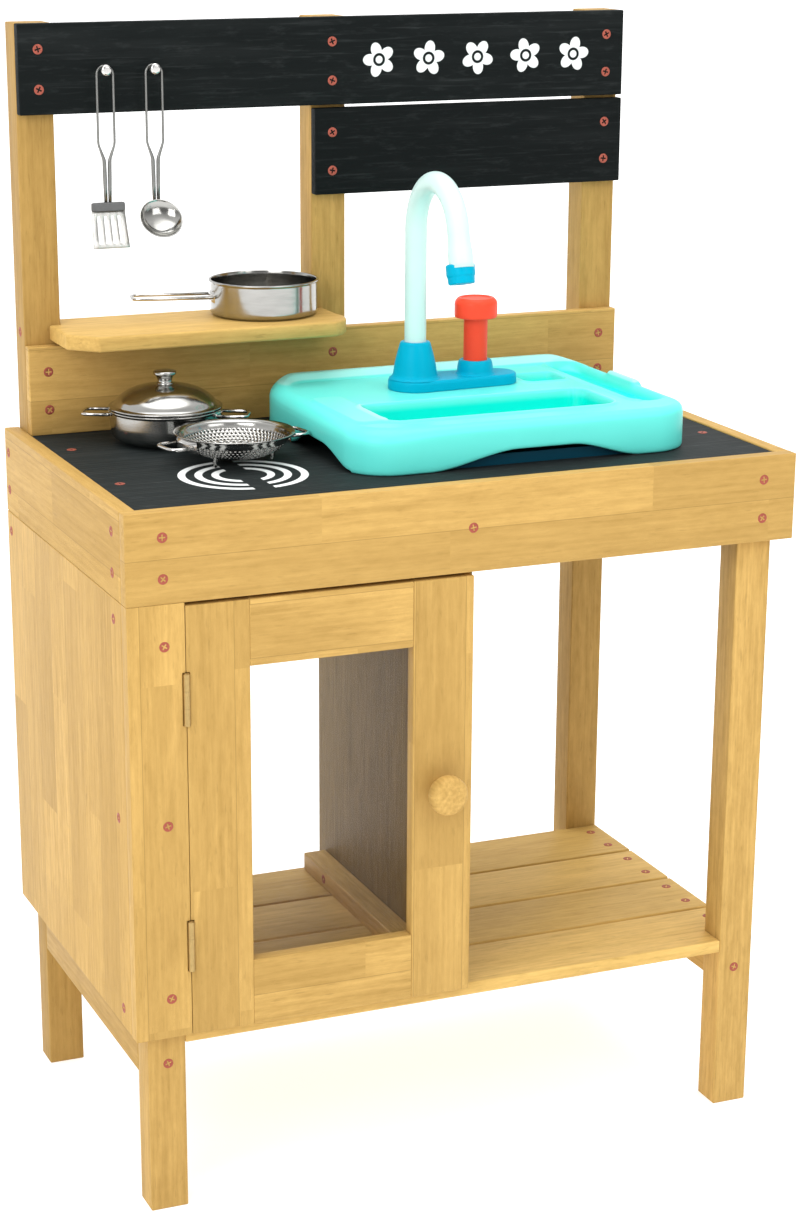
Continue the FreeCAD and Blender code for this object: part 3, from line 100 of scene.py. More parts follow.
camera = linked("camera", bpy.data.cameras.new("camera"))
bpy.context.scene.camera = camera
camera.location = CAMERA_PLACE
camera.rotation_euler = (math.pi / 2 - CAMERA_PITCH, CAMERA_ROLL, -CAMERA_YAW)
camera.data.sensor_fit = "VERTICAL"
camera.data.sensor_height = 36.0
camera.data.lens = FOCAL_PIXELS / PHOTO_SIZE[1] * camera.data.sensor_height
camera.data.shift_x = (PHOTO_SIZE[0] / 2 - PHOTO_CENTRE[0]) / PHOTO_SIZE[1]
camera.data.shift_y = (PHOTO_CENTRE[1] - PHOTO_SIZE[1] / 2) / PHOTO_SIZE[1]
camera.data.clip_end = 50
print("lens", round(camera.data.lens, 2), "shift", camera.data.shift_x, camera.data.shift_y)

# %% [markdown]
# Shader maths reads best as plain formulas. A small class wraps one socket of a node, so
# that an expression such as 1 - mask adds the Math nodes by itself. Every other kind of
# node comes from one method that takes the node's type, its settings and its inputs.

# %% Shader helpers
def forward(operation):
    """A method that puts a Math node on a wire and on what comes after it."""
    return lambda wire, *others: wire.maths(operation, wire, *others)


def backward(operation):
    """The same for a number that stands before the wire, as in 1 - mask."""
    return lambda wire, other: wire.maths(operation, other, wire)


class Wire:
    """One output socket, with the arithmetic that is used on it."""

    def __init__(self, paint, socket):
        self.paint, self.socket = paint, socket

    def maths(self, operation, *values):
        return self.paint.node("ShaderNodeMath", {"operation": operation}, dict(enumerate(values)))

    __add__, __radd__ = forward("ADD"), backward("ADD")
    __sub__, __rsub__ = forward("SUBTRACT"), backward("SUBTRACT")
    __mul__, __rmul__ = forward("MULTIPLY"), backward("MULTIPLY")
    __truediv__, __pow__, __abs__ = forward("DIVIDE"), forward("POWER"), forward("ABSOLUTE")
    __lt__, __gt__ = forward("LESS_THAN"), forward("GREATER_THAN")
    floor, fraction = forward("FLOOR"), forward("FRACT")
    sine, root, angle = forward("SINE"), forward("SQRT"), forward("ARCTAN2")

    def step(self, low, high):
        """A smooth rise from 0 at low to 1 at high, or a fall where low is the larger."""
        settings = {"interpolation_type": "SMOOTHSTEP"}
        return self.paint.node("ShaderNodeMapRange", settings, {0: self, 1: low, 2: high})


class Paint:
    """A material, or the world, whose shader is ready to be linked."""

    def __init__(self, material, shader="Principled BSDF", **constants):
        material.use_nodes = True
        self.material, self.tree = material, material.node_tree
        self.shader = self.tree.nodes[shader]
        for socket, value in constants.items():
            self.shader.inputs[socket.replace("_", " ")].default_value = value

    def node(self, kind, settings=None, inputs=None, output=0):
        """Add a node of a type, set it up, feed its sockets and hand back one output."""
        made = self.tree.nodes.new(kind)
        for name, value in (settings or {}).items():
            setattr(made, name, value)
        for name, value in (inputs or {}).items():
            if isinstance(value, Wire):
                self.tree.links.new(value.socket, made.inputs[name])
            elif made.inputs[name].type == "RGBA":
                made.inputs[name].default_value = (*value, 1.0)
            else:
                made.inputs[name].default_value = value
        return Wire(self, made.outputs[output])

    def feed(self, **links):
        """Link wires to the shader's sockets."""
        for name, wire in links.items():
            self.tree.links.new(wire.socket, self.shader.inputs[name.replace("_", " ")])

    def place(self):
        """The point on the piece, in metres."""
        return self.node("ShaderNodeTexCoord", output="Object")

    def split(self, vector):
        """The three numbers of a vector."""
        made = self.node("ShaderNodeSeparateXYZ", inputs={0: vector})
        return [Wire(self, made.socket.node.outputs[axis]) for axis in range(3)]

    def millimetres(self, spot):
        """How far the point lies from a spot along x, y and z, in millimetres."""
        x, y, z = self.split(self.scaled(self.place(), (1 / MM, 1 / MM, 1 / MM)))
        return x - spot[0], y + (MID_DEPTH - spot[1]), z - spot[2]

    def joined(self, x, y, z):
        """A vector from three numbers."""
        return self.node("ShaderNodeCombineXYZ", inputs={0: x, 1: y, 2: z})

    def scaled(self, vector, factors):
        """A vector times another, part by part."""
        return self.node("ShaderNodeVectorMath", {"operation": "MULTIPLY"}, {0: vector, 1: factors})

    def noise(self, vector, scale, detail=2.0, roughness=0.5):
        """Soft random values between 0 and 1."""
        inputs = {"Vector": vector, "Scale": scale, "Detail": detail, "Roughness": roughness}
        return self.node("ShaderNodeTexNoise", inputs=inputs)

    def chance(self, vector):
        """One random value for each place of a whole-number grid."""
        return self.node("ShaderNodeTexWhiteNoise", {"noise_dimensions": "3D"}, {"Vector": vector})

    def mix(self, share, first, second):
        """A colour between two colours."""
        settings = {"data_type": "RGBA", "clamp_factor": True}
        return self.node("ShaderNodeMix", settings, {0: share, 6: first, 7: second}, output=2)

    def ramp(self, share, stops):
        """A grey read off straight lines between stops, each a place and a level."""
        grey = self.node("ShaderNodeValToRGB", inputs={"Fac": share})
        elements = grey.socket.node.color_ramp.elements
        for number, (place, level) in enumerate(stops):
            element = elements[number] if number < 2 else elements.new(place)
            element.position, element.color = place, (level, level, level, 1.0)
        return grey

    def finished(self, colour, rough, height, distance, strength):
        """Link colour and roughness, and a normal bent by a height whose depth is in metres."""
        inputs = {"Strength": strength, "Distance": distance, "Height": height}
        bump = self.node("ShaderNodeBump", inputs=inputs)
        self.feed(Base_Color=colour, Roughness=rough, Normal=bump)
        return self.material


def shaded(colour, factor):
    """A colour with each part times a factor."""
    return tuple(factor * value for value in colour)


# %% [markdown]
# The pieces that are new to the scene are surfaces on a grid: a whole array of points is
# worked out at once and joined into quads. A turned piece, a bent wire and a moulded deck
# are all such grids. A last step merges the points of each pole and seam.

# %% Mesh helpers
def smooth_step(value, low, high):
    """Rise from 0 at low to 1 at high along 3t^2 - 2t^3."""
    share = np.clip((value - low) / (high - low), 0, 1)
    return share * share * (3 - 2 * share)


def gridded(points, ring=True):
    """Points in rows and columns with the quads between them; a ring closes every row."""
    rows, columns = points.shape[:2]
    r, c = np.meshgrid(np.arange(rows - 1), np.arange(columns - (not ring)), indexing="ij")
    c2 = (c + 1) % columns
    r, r2 = r * columns, (r + 1) * columns
    return points, np.stack([r + c, r + c2, r2 + c2, r2 + c], axis=-1).reshape(-1, 4)


def joined_grids(name, grids, outward=True):
    """One mesh object from several (points, faces) pairs, its doubles merged."""
    points, faces, start = [], [], 0
    for spots, quads in grids:
        spots = np.asarray(spots, float).reshape(-1, 3)
        points.append(spots)
        faces.append(quads + start)
        start += len(spots)
    mesh = bpy.data.meshes.new(name)
    mesh.from_pydata(np.concatenate(points).tolist(), [], np.concatenate(faces).tolist())
    edit = bmesh.new()
    edit.from_mesh(mesh)
    bmesh.ops.remove_doubles(edit, verts=edit.verts, dist=2e-6)
    bmesh.ops.dissolve_degenerate(edit, edges=edit.edges, dist=1e-7)
    if outward:
        bmesh.ops.recalc_face_normals(edit, faces=edit.faces)
    edit.to_mesh(mesh)
    edit.free()
    mesh.shade_smooth()
    return linked(name, mesh)


def turned_grid(profile, sides):
    """Points round an upright axis: each (radius, height) of a profile goes round once."""
    profile = np.asarray(profile, float)
    angle = np.linspace(0, 2 * math.pi, sides, endpoint=False)
    x = profile[:, :1] * np.cos(angle)
    y = profile[:, :1] * np.sin(angle)
    z = np.repeat(profile[:, 1:], sides, axis=1)
    return gridded(np.stack([x, y, z], axis=-1))


def softened(corners, radius, steps):
    """A line with its corners rounded: each corner becomes a quadratic curve that starts and
    ends one radius away from it, or half a side where the side is short."""
    corners = np.asarray(corners, float)
    radius = np.broadcast_to(np.asarray(radius, float), len(corners))

    def reached(shift):
        way = np.roll(corners, shift, axis=0) - corners
        side = np.linalg.norm(way, axis=1)
        return corners + way * (np.minimum(radius, side * 0.49) / side)[:, None]

    first, last = reached(1), reached(-1)
    share = np.linspace(0, 1, steps + 1)[None, :, None]
    curve = (1 - share) ** 2 * first[:, None] + share ** 2 * last[:, None]
    curve = curve + 2 * share * (1 - share) * corners[:, None]
    return np.concatenate([corners[:1], curve[1:-1].reshape(-1, corners.shape[1]), corners[-1:]])


def lathed(corners, radii, steps, sides):
    """A turned piece from the corners of its profile and the rounding of each."""
    return turned_grid(softened(corners, radii, steps), sides)


def tube_grid(path, radius, level, sides=12):
    """A round tube along a flat path: each point gets a circle spanned by the path plane's
    normal and by that normal crossed with the path's direction. Both ends close in a point."""
    path = np.asarray(path, float)
    along = np.gradient(path, axis=0)
    along /= np.linalg.norm(along, axis=1)[:, None]
    level = np.asarray(level, float) / np.linalg.norm(level)
    across = np.cross(along, level)
    across /= np.linalg.norm(across, axis=1)[:, None]
    path = np.concatenate([path[:1], path, path[-1:]])
    across = np.concatenate([across[:1], across, across[-1:]])
    size = np.broadcast_to(np.asarray(radius, float), len(path) - 2)
    size = np.concatenate([[0.0], size, [0.0]])[:, None, None]
    angle = np.linspace(0, 2 * math.pi, sides, endpoint=False)[None, :, None]
    ring = np.cos(angle) * across[:, None] + np.sin(angle) * level
    return gridded(path[:, None] + size * ring)


def moved(grid, spot, spin=0.0, tip=0.0):
    """A grid tipped forwards about the crosswise axis and turned about the upright one, by
    angles in degrees, then moved to a spot."""
    points, faces = grid
    c, s = math.cos(math.radians(spin)), math.sin(math.radians(spin))
    turn = np.array([[c, -s, 0], [s, c, 0], [0, 0, 1.0]])
    c, s = math.cos(math.radians(tip)), math.sin(math.radians(tip))
    turn = turn @ np.array([[1.0, 0, 0], [0, c, -s], [0, s, c]])
    return np.asarray(points, float) @ turn.T + spot, faces


def in_metres(grid):
    """A grid in millimetres from the apron's front, put in the part's frame."""
    points, faces = grid
    return (np.asarray(points, float).reshape(-1, 3) - (0.0, MID_DEPTH, 0.0)) * MM, faces


def settled(piece, material, body, node=None):
    """Give a piece its finish, its body and its slot, and let it stand for a CAD node."""
    piece.data.materials.append(material)
    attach(piece, body)
    if node:
        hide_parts(node)
    return piece


def dressed(name, grids, node, material, outward=True):
    """A piece from grids in millimetres that stands for its CAD node."""
    piece = joined_grids(name, [in_metres(grid) for grid in grids], outward)
    return settled(piece, material, body_of[node], node)


def added(name, grids, body, material, outward=True):
    """A tin piece from grids in millimetres that belongs to a body and replaces nothing."""
    piece = joined_grids(name, [in_metres(grid) for grid in grids], outward)
    return settled(piece, material, body)


def middle_of(node):
    """The middle of a CAD node's box, in millimetres from the apron's front."""
    low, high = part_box(node)
    return (np.array(low) + np.array(high)) / 2 / MM + (0.0, MID_DEPTH, 0.0)


def mesh_points(mesh):
    """All points of a mesh, one row each."""
    points = np.empty(len(mesh.vertices) * 3)
    mesh.vertices.foreach_get("co", points)
    return points.reshape(-1, 3)


def thickened(piece, thickness, offset=-1.0):
    """Give a sheet its wall."""
    wall = piece.modifiers.new("wall", "SOLIDIFY")
    wall.thickness, wall.offset = thickness * MM, offset
    return piece


# %% [markdown]
# Pine is the main finish. A real board shows the tree inside it: growth rings cut
# lengthways, fine fibres, and small dark flecks. These boards are also glued from staves,
# each with its own tone. The pattern is worked out from a point's place along, across and
# into its board, which each board carries as an attribute, so that one recipe suits boards
# that run in any direction and the end grain is right as well.

# %% Wood
STAVE_WIDTH, STAVE_LENGTH = 0.047, 0.31
RING_SPACING = 0.0052


def wood_pattern(paint, staves=True):
    """Rings, fibres, flecks, seams and a tone for each stave, all between 0 and 1."""
    grain = paint.node("ShaderNodeAttribute", {"attribute_name": "grain"}, output="Vector")
    seed = paint.node("ShaderNodeAttribute", {"attribute_name": "seed"}, output="Fac")
    along, across, depth = paint.split(grain)
    stave = across / STAVE_WIDTH + seed * 3.7
    row = stave.floor()
    block = (along / STAVE_LENGTH + row * 0.377 + seed * 5.3).floor()
    tone = paint.chance(paint.joined(row + seed * 31.0, block, seed * 17.0)) if staves else seed
    here = paint.joined(along + tone * 2.3, across + tone * 0.9, depth + seed * 0.4)

    def fibres(length, width, detail, roughness=0.5):
        stretched = paint.scaled(here, (length, width, width))
        return paint.noise(stretched, 1.0, detail, roughness)

    off = across + (tone - 0.5) * 0.11
    deep = depth + 0.022 + tone * 0.05
    radius = (off * off + deep * deep).root() + (fibres(1.6, 9.0, 2.0) - 0.5) * 0.022
    ring = ((radius * (2 * math.pi / RING_SPACING)).sine() * 0.5 + 0.5) ** 2.0
    fibre, streak = fibres(14.0, 300.0, 4.0, 0.65), fibres(4.0, 55.0, 3.0, 0.55)
    mottle, fleck = fibres(45.0, 160.0, 3.0, 0.7), fibres(55.0, 420.0, 2.0).step(0.62, 0.74)
    edge = abs(stave.fraction() - 0.5).step(0.4905, 0.4985)
    return SimpleNamespace(ring=ring, fibre=fibre, streak=streak, mottle=mottle, fleck=fleck,
                           tone=tone, seam=edge)


def oiled_pine(name, light, dark, staves=False):
    """Planed pine under a thin oil: warm colour from rings and fibres, and a soft sheen."""
    paint = Paint(bpy.data.materials.new(name), IOR=1.45, Specular_IOR_Level=0.12)
    look = wood_pattern(paint, staves)
    share = look.ring * 0.10 + (look.fibre - 0.5) * 1.25 + (look.streak - 0.5) * 0.8
    share = share + 0.30 + (look.mottle - 0.5) * 0.9
    colour = paint.mix(share, light, dark)
    colour = paint.mix(look.tone * 0.42, colour, shaded(dark, 0.80))
    colour = paint.mix(look.fleck * 0.22, colour, shaded(dark, 0.36))
    if staves:
        colour = paint.mix(look.seam * 0.45, colour, shaded(dark, 0.35))
    rough = 0.40 + look.fibre * 0.22
    height = look.fibre * 0.7 + look.ring * 0.25 - look.fleck * 0.3
    return paint.finished(colour, rough, height, 0.00012, 0.8)


PINE_LIGHT, PINE_DARK = (0.64, 0.405, 0.128), (0.355, 0.208, 0.052)
pine = oiled_pine("oiled_pine", PINE_LIGHT, PINE_DARK, staves=True)
plain_pine = oiled_pine("plain_pine", PINE_LIGHT, PINE_DARK)
# The divider's darker, greyer pine is painted shade: the divider stands in shade inside the
# cupboard.
painted_shade_pine = oiled_pine("painted_shade_pine", (0.27, 0.175, 0.050), (0.15, 0.092, 0.024))
# The back posts' darker pine is painted shade for the dimmer light at the back.
painted_shade_back_pine = oiled_pine("painted_shade_back_pine", (0.54, 0.335, 0.100), (0.30, 0.172, 0.042))
# The paler pine for the slats and the shelf is painted light: a lit copy of the pine that brightens
# boards the lamps leave dim.
painted_light_pine = oiled_pine("painted_light_pine", (0.74, 0.485, 0.155), (0.46, 0.28, 0.075))
print("pine shaders of", len(pine.node_tree.nodes), "and", len(painted_light_pine.node_tree.nodes), "nodes")

# %% [markdown]
# The counter and the name boards are the same pine under a thin charcoal paint. It sinks
# into the grain, so pale worn lines follow the fibres. On the counter a hob is stencilled:
# three rings with a bar across that the stencil needs to hold together. The top board gets
# a row of flowers by the same means.

# %% Black paint
HOB_SPOT, HOB_RINGS, HOB_BAND, HOB_BAR = (-171.5, 107.0, 631.0), (53.0, 38.5, 24.0), 3.3, 9.0
FLOWER_SPOT, FLOWER_PITCH, FLOWER_COUNT = (20.0, 329.0, 960.5), 50.0, 5.0
STENCIL_WHITE = (0.80, 0.82, 0.81)


def charcoal_paint(name, fresh, worn_out, stencil=None):
    """Charcoal over grain; a stencil adds a pale mask worked out from the point's place."""
    paint = Paint(bpy.data.materials.new(name), IOR=1.45, Specular_IOR_Level=0.10)
    look = wood_pattern(paint, staves=False)
    worn = look.fibre.step(0.52, 0.78) * 0.55 + look.streak.step(0.45, 0.8) * 0.25
    worn = worn + look.mottle.step(0.52, 0.75) * 0.30
    colour = paint.mix(worn, fresh, worn_out)
    rough = 0.62 - worn * 0.14
    if stencil:
        mask = stencil(paint) * (1 - look.fibre.step(0.58, 0.85) * 0.45)
        colour = paint.mix(mask, colour, STENCIL_WHITE)
    height = look.fibre * 0.8 + look.ring * 0.3
    return paint.finished(colour, rough, height, 0.00028, 0.9)


def hob_mask(paint):
    """Where the distance from the hob's centre is near a ring, and not on the bar. Only the
    upper face is stencilled."""
    x, y, z = paint.millimetres(HOB_SPOT)
    away = (x * x + y * y).root()
    mask = 0.0
    for ring in HOB_RINGS:
        mask = 1 - abs(away - ring).step(HOB_BAND - 0.35, HOB_BAND + 0.35) + mask
    return mask * abs(x).step(HOB_BAR - 0.4, HOB_BAR + 0.4) * z.step(-1.0, 1.0)


def flower_mask(paint):
    """A row of stencilled flowers. The share of a pitch that a point has passed gives its
    place in one flower; five petals are where the distance from the middle stays under a
    limit that swings with the angle, outside a dot and the gap round it. Only the front
    face is stencilled."""
    x, y, z = paint.millimetres(FLOWER_SPOT)
    step = x / FLOWER_PITCH
    here = (step.fraction() - 0.5) * FLOWER_PITCH
    away = (here * here + z * z).root()
    turned = z.angle(here) * 2.5 + step.floor() * 1.1
    limit = 8.5 + abs(turned.sine()) * 7.5
    petals = (1 - (away - limit).step(-0.4, 0.4)) * away.step(5.6, 6.4)
    dot = 1 - away.step(3.0, 3.8)
    return (petals + dot) * (step > 0.0) * (step < FLOWER_COUNT) * y.step(1.0, -1.0)


black_counter = charcoal_paint("charcoal_counter", (0.014, 0.018, 0.018),
                               (0.042, 0.047, 0.047), hob_mask)
black_wall = charcoal_paint("charcoal_boards", (0.0035, 0.0052, 0.0052), (0.023, 0.026, 0.026))
black_name = charcoal_paint("charcoal_stencilled", (0.0045, 0.0065, 0.0065),
                            (0.028, 0.032, 0.032), flower_mask)
print("hob rings of", HOB_RINGS, "mm and", int(FLOWER_COUNT), "flowers")

# %% [markdown]
# Plastic, tin and steel are simpler, yet none is one flat colour: moulded plastic has a
# faint mottle and dull spots, spun tin shows rings from the lathe, and zinc plating is
# cloudy. Each recipe varies the colour and the roughness a little over the piece. The sink
# also gets painted light and shade of its own: painted shade makes the walls of its hollows
# a deeper, darker aqua, as light bounced about in them would, and a painted highlight
# makes its highest edges paler.

# %% Plastic and metal
SINK_MIDDLE, SINK_SIZE, SINK_CORNER = (77.0, 177.0, 633.0), (328.0, 254.0), 42.0
HOLLOW_REACH, PAINTED_SHADE_AQUA = (160.0, 124.0), (0.001, 0.720, 0.610)


def sink_painted_shade_and_highlight(paint, shade, colour):
    """Painted shade: deeper below the deck inside a rounded outline, x^4 + y^4 = 1.
    Painted highlight: paler on the crests.
    """
    x, y, z = paint.millimetres(SINK_MIDDLE)
    across, along = x * x / HOLLOW_REACH[0] ** 2, y * y / HOLLOW_REACH[1] ** 2
    inside = (across * across + along * along).step(1.05, 0.90)
    # Painted shade: inside the outline and below the deck the walls turn a deeper, darker aqua.
    shade = paint.mix(z.step(38.5, 32.0) * inside, shade, PAINTED_SHADE_AQUA)
    # Painted highlight: the highest crests turn paler.
    pale = tuple(0.45 + 0.5 * value for value in colour)
    return paint.mix(z.step(41.2, 42.6) * 0.55, shade, pale)


def moulded(name, colour, rough, gloss, painted_light_and_shade=None):
    """Moulded plastic: a faint mottle in colour and gloss, and a very shallow orange peel.
    A piece can bring painted shade and highlight of its own."""
    paint = Paint(bpy.data.materials.new(name), IOR=1.5, Specular_IOR_Level=gloss)
    spot = paint.place()
    mottle = paint.noise(spot, 22.0, 3.0)
    fine = paint.noise(spot, 420.0, 2.0)
    shade = paint.mix((mottle - 0.5) * 0.5 + 0.3, colour, shaded(colour, 0.88))
    if painted_light_and_shade:
        shade = painted_light_and_shade(paint, shade, colour)
    return paint.finished(shade, rough + mottle * 0.10, fine, 0.00004, 0.5)


def metal(name, colour, rough, spread, scale, stretch=(1.0, 1.0, 1.0), metallic=1.0):
    """Metal with cloudy roughness; a stretched noise leaves marks that run one way."""
    paint = Paint(bpy.data.materials.new(name), Metallic=metallic)
    spot = paint.scaled(paint.place(), stretch)
    cloud = paint.noise(spot, scale, 4.0, 0.6)
    fine = paint.noise(spot, scale * 9, 3.0)
    shade = paint.mix(cloud.step(0.3, 0.8) * 0.5, colour, shaded(colour, 0.78))
    return paint.finished(shade, rough + cloud * spread, fine, 0.00003, 0.6)


# The sink's aqua carries painted shade in its hollows and a painted highlight on its crests.
aqua = moulded("aqua_plastic", (0.130, 0.790, 0.710), 0.26, 0.16, sink_painted_shade_and_highlight)
tap_blue = moulded("tap_blue_plastic", (0.0002, 0.375, 0.560), 0.30, 0.05)
spout_mint = moulded("mint_plastic", (0.590, 0.780, 0.740), 0.26, 0.30)
pump_red = moulded("pump_red_plastic", (0.990, 0.070, 0.030), 0.30, 0.15)
tub_navy = moulded("tub_plastic", (0.002, 0.050, 0.085), 0.40, 0.10)
catch_white = moulded("catch_plastic", (0.720, 0.705, 0.660), 0.40, 0.20)
tin = metal("polished_tin", (0.40, 0.395, 0.375), 0.09, 0.12, 45.0, (1.0, 1.0, 6.0))
bright_wire = metal("bright_wire", (0.62, 0.61, 0.59), 0.10, 0.12, 160.0)
hung_wire = metal("hung_wire", (0.22, 0.22, 0.21), 0.24, 0.15, 160.0)
pale_tin = metal("pale_tin", (0.66, 0.65, 0.62), 0.42, 0.15, 120.0)
zinc = metal("zinc_plate", (0.56, 0.55, 0.52), 0.30, 0.25, 220.0)
brass = metal("worn_brass", (0.46, 0.32, 0.13), 0.38, 0.20, 260.0)
steel_grey = metal("dull_steel", (0.15, 0.15, 0.15), 0.34, 0.20, 180.0)
copper = metal("copper_screw", (0.36, 0.085, 0.055), 0.36, 0.22, 500.0, metallic=0.55)


def clear_sheet():
    """Acrylic: nearly clear, with a reflection that grows towards a glancing view."""
    paint = Paint(bpy.data.materials.new("clear_acrylic"), Roughness=0.03, IOR=1.49)
    glance = paint.node("ShaderNodeFresnel", inputs={"IOR": 1.45})
    dust = paint.noise(paint.place(), 30.0, 3.0)
    paint.feed(Base_Color=paint.mix(dust, (0.93, 0.95, 0.95), (0.86, 0.88, 0.88)))
    paint.feed(Alpha=glance * 0.20 + dust * 0.008)
    return paint.material


acrylic = clear_sheet()
print(len(bpy.data.materials), "materials")

# %% [markdown]
# No planed board has knife-sharp corners: its edges are eased with sandpaper. Each board
# is a copy of its CAD solid whose loose triangles are merged into flat faces, so that a
# Bevel modifier can round the real edges and nothing else. The copy also gets its grain:
# the place of each corner along, across and into the board, and a number of its own.

# %% Boards
AXES = {"x": (0, 1, 2), "y": (1, 0, 2), "z": (2, 0, 1),
        "x_face": (0, 2, 1), "y_face": (1, 2, 0), "z_side": (2, 1, 0)}
PAIRED_NODES = ("side_rails", "counter_cleats")


def merged_copy(node, name):
    """A copy of a CAD solid with its doubles merged and its flat faces made whole."""
    mesh = frame["nodes"][node].data.copy()
    mesh.name = name
    edit = bmesh.new()
    edit.from_mesh(mesh)
    bmesh.ops.remove_doubles(edit, verts=edit.verts, dist=1e-5)
    bmesh.ops.dissolve_limit(edit, angle_limit=math.radians(1.0), verts=edit.verts,
                             edges=edit.edges)
    edit.to_mesh(mesh)
    edit.free()
    mesh.materials.clear()
    return linked(name, mesh)


def mark_grain(mesh, along, number, paired=False):
    """Write each point's place along, across and into its board, and the board's number.
    The right board of a pair gets a number of its own."""
    points = mesh_points(mesh)
    place = points[:, AXES[along]] - points[:, AXES[along]].mean(axis=0)
    right = (points[:, 0] > 0) & paired
    seed = (number * 0.6180339 + right * 0.2718281 + 0.137) % 1.0
    grain = mesh.attributes.new("grain", "FLOAT_VECTOR", "POINT")
    grain.data.foreach_set("vector", place.astype(np.float32).ravel())
    mark = mesh.attributes.new("seed", "FLOAT", "POINT")
    mark.data.foreach_set("value", seed.astype(np.float32))


def eased(node, along, material, ease):
    """A board with eased edges that stands for its CAD solid."""
    piece = merged_copy(node, "eased_" + node)
    mark_grain(piece.data, along, len(bpy.data.objects), node in PAIRED_NODES)
    bevel = piece.modifiers.new("eased_edges", "BEVEL")
    bevel.width, bevel.segments, bevel.limit_method = ease * MM, 3, "ANGLE"
    bevel.angle_limit = math.radians(25)
    bevel.harden_normals = True
    piece.data.shade_smooth()
    settled(piece, material, body_of[node], node)


board_rows = [("leg_front_left leg_front_right", "z", plain_pine, 1.3),
              # The back posts' darker pine is painted shade.
              ("post_back_left post_back_right post_back_centre", "z", painted_shade_back_pine, 1.3),
              ("fixed_stile door_stile_left door_stile_right", "z", pine, 0.9),
              # The divider's darker pine is painted shade.
              ("side_panel", "z_side", pine, 1.3), ("divider", "z_side", painted_shade_pine, 1.3),
              ("apron_front back_rail splash_board", "x_face", pine, 1.0),
              ("door_rail_top door_rail_bottom", "x_face", pine, 1.0),
              ("apron_left apron_right", "y_face", pine, 1.3),
              # The slats' and the shelf's paler pine is painted light.
              ("slat_1 slat_2 slat_3 slat_4", "x", painted_light_pine, 1.3),
              ("shelf", "x", painted_light_pine, 2.2), ("divider_batten", "y", plain_pine, 1.3),
              ("side_rails counter_cleats", "y", plain_pine, 1.3),
              ("counter_top", "x", black_counter, 1.2),
              ("black_board_top", "x_face", black_name, 1.2),
              ("black_board_low", "x_face", black_wall, 1.2)]
for nodes, along, material, ease in board_rows:
    for node in nodes.split():
        eased(node, along, material, ease)

# %% [markdown]
# The knob is turned on a lathe, so its grain runs out of the door. A profile of radius and
# height is rounded at its corners and carried round the axis, then laid down to point
# forwards.

# %% Door knob
knob_spot = middle_of("door_knob") * (1, 0, 1)
knob_grid = lathed([(0, 0), (8, 0), (7.6, 9), (16.5, 12.5), (18, 19), (17, 25), (11.5, 28),
                    (0, 28)], [0, 0.3, 3.5, 3.5, 5, 4, 4.5, 0], 6, 72)
knob_grid = moved(knob_grid, knob_spot, tip=90)
knob = dressed("turned_knob", [knob_grid], "door_knob", plain_pine)
mark_grain(knob.data, "y", 5)
print("knob at", knob_spot)

# %% [markdown]
# The sink is one moulding. Its deck is a height worked out at every point of a grid: the
# distance to a rounded rectangle says how deep a point lies inside the basin, the soap
# dish or the rim, and a smooth step of that distance gives the wall. The grid is fine at
# those walls and coarse between them. A skirt carries the rim down to the feet, and the
# whole sheet then gets its thickness.

# %% Sink
SINK_TOP, SINK_EDGE, BASIN_FLOOR, SOAP_DEPTH, GROOVE_DEPTH = 40.0, 8.5, 13.0, 9.0, 8.0
BACK_RISE, LUG_RISE, REST_RISE = 7.0, 4.5, 1.6
REST, BASIN = ((-135, -32), (32, 118), 9), ((-12, -57), (222, 76), 16)
SOAP_DISH, GROOVE = ((89, 47), (42, 40), 9), ((137, 9), (35, 196), 17)
WALLS_ACROSS = (-164, -154, -148, -123, 99, 69, 109, 120, 153, 162)
WALLS_ALONG = (-127, -120, -95, -19, 27, 67, 104, 120, 127)


def inside_by(x, y, middle, size, radius):
    """How far a point lies inside a rounded rectangle: the corner radius minus the distance
    to the rectangle that is smaller by that radius on each side."""
    across = np.abs(x - middle[0]) - (size[0] / 2 - radius)
    along = np.abs(y - middle[1]) - (size[1] / 2 - radius)
    outside = np.hypot(np.maximum(across, 0), np.maximum(along, 0))
    return radius - outside - np.minimum(np.maximum(across, along), 0)


def fine_lines(low, high, walls, count):
    """Grid lines between two ends, crowded round each wall: places where the running total
    of a density, one bell curve for each wall on an even floor, passes equal steps."""
    place = np.linspace(low, high, 4000)
    density = 1.0 + sum(5.0 * np.exp(-((place - wall) / 5.0) ** 2) for wall in walls)
    total = np.concatenate([[0], np.cumsum((density[1:] + density[:-1]) / 2)])
    return np.interp(np.linspace(0, total[-1], count), total, place)


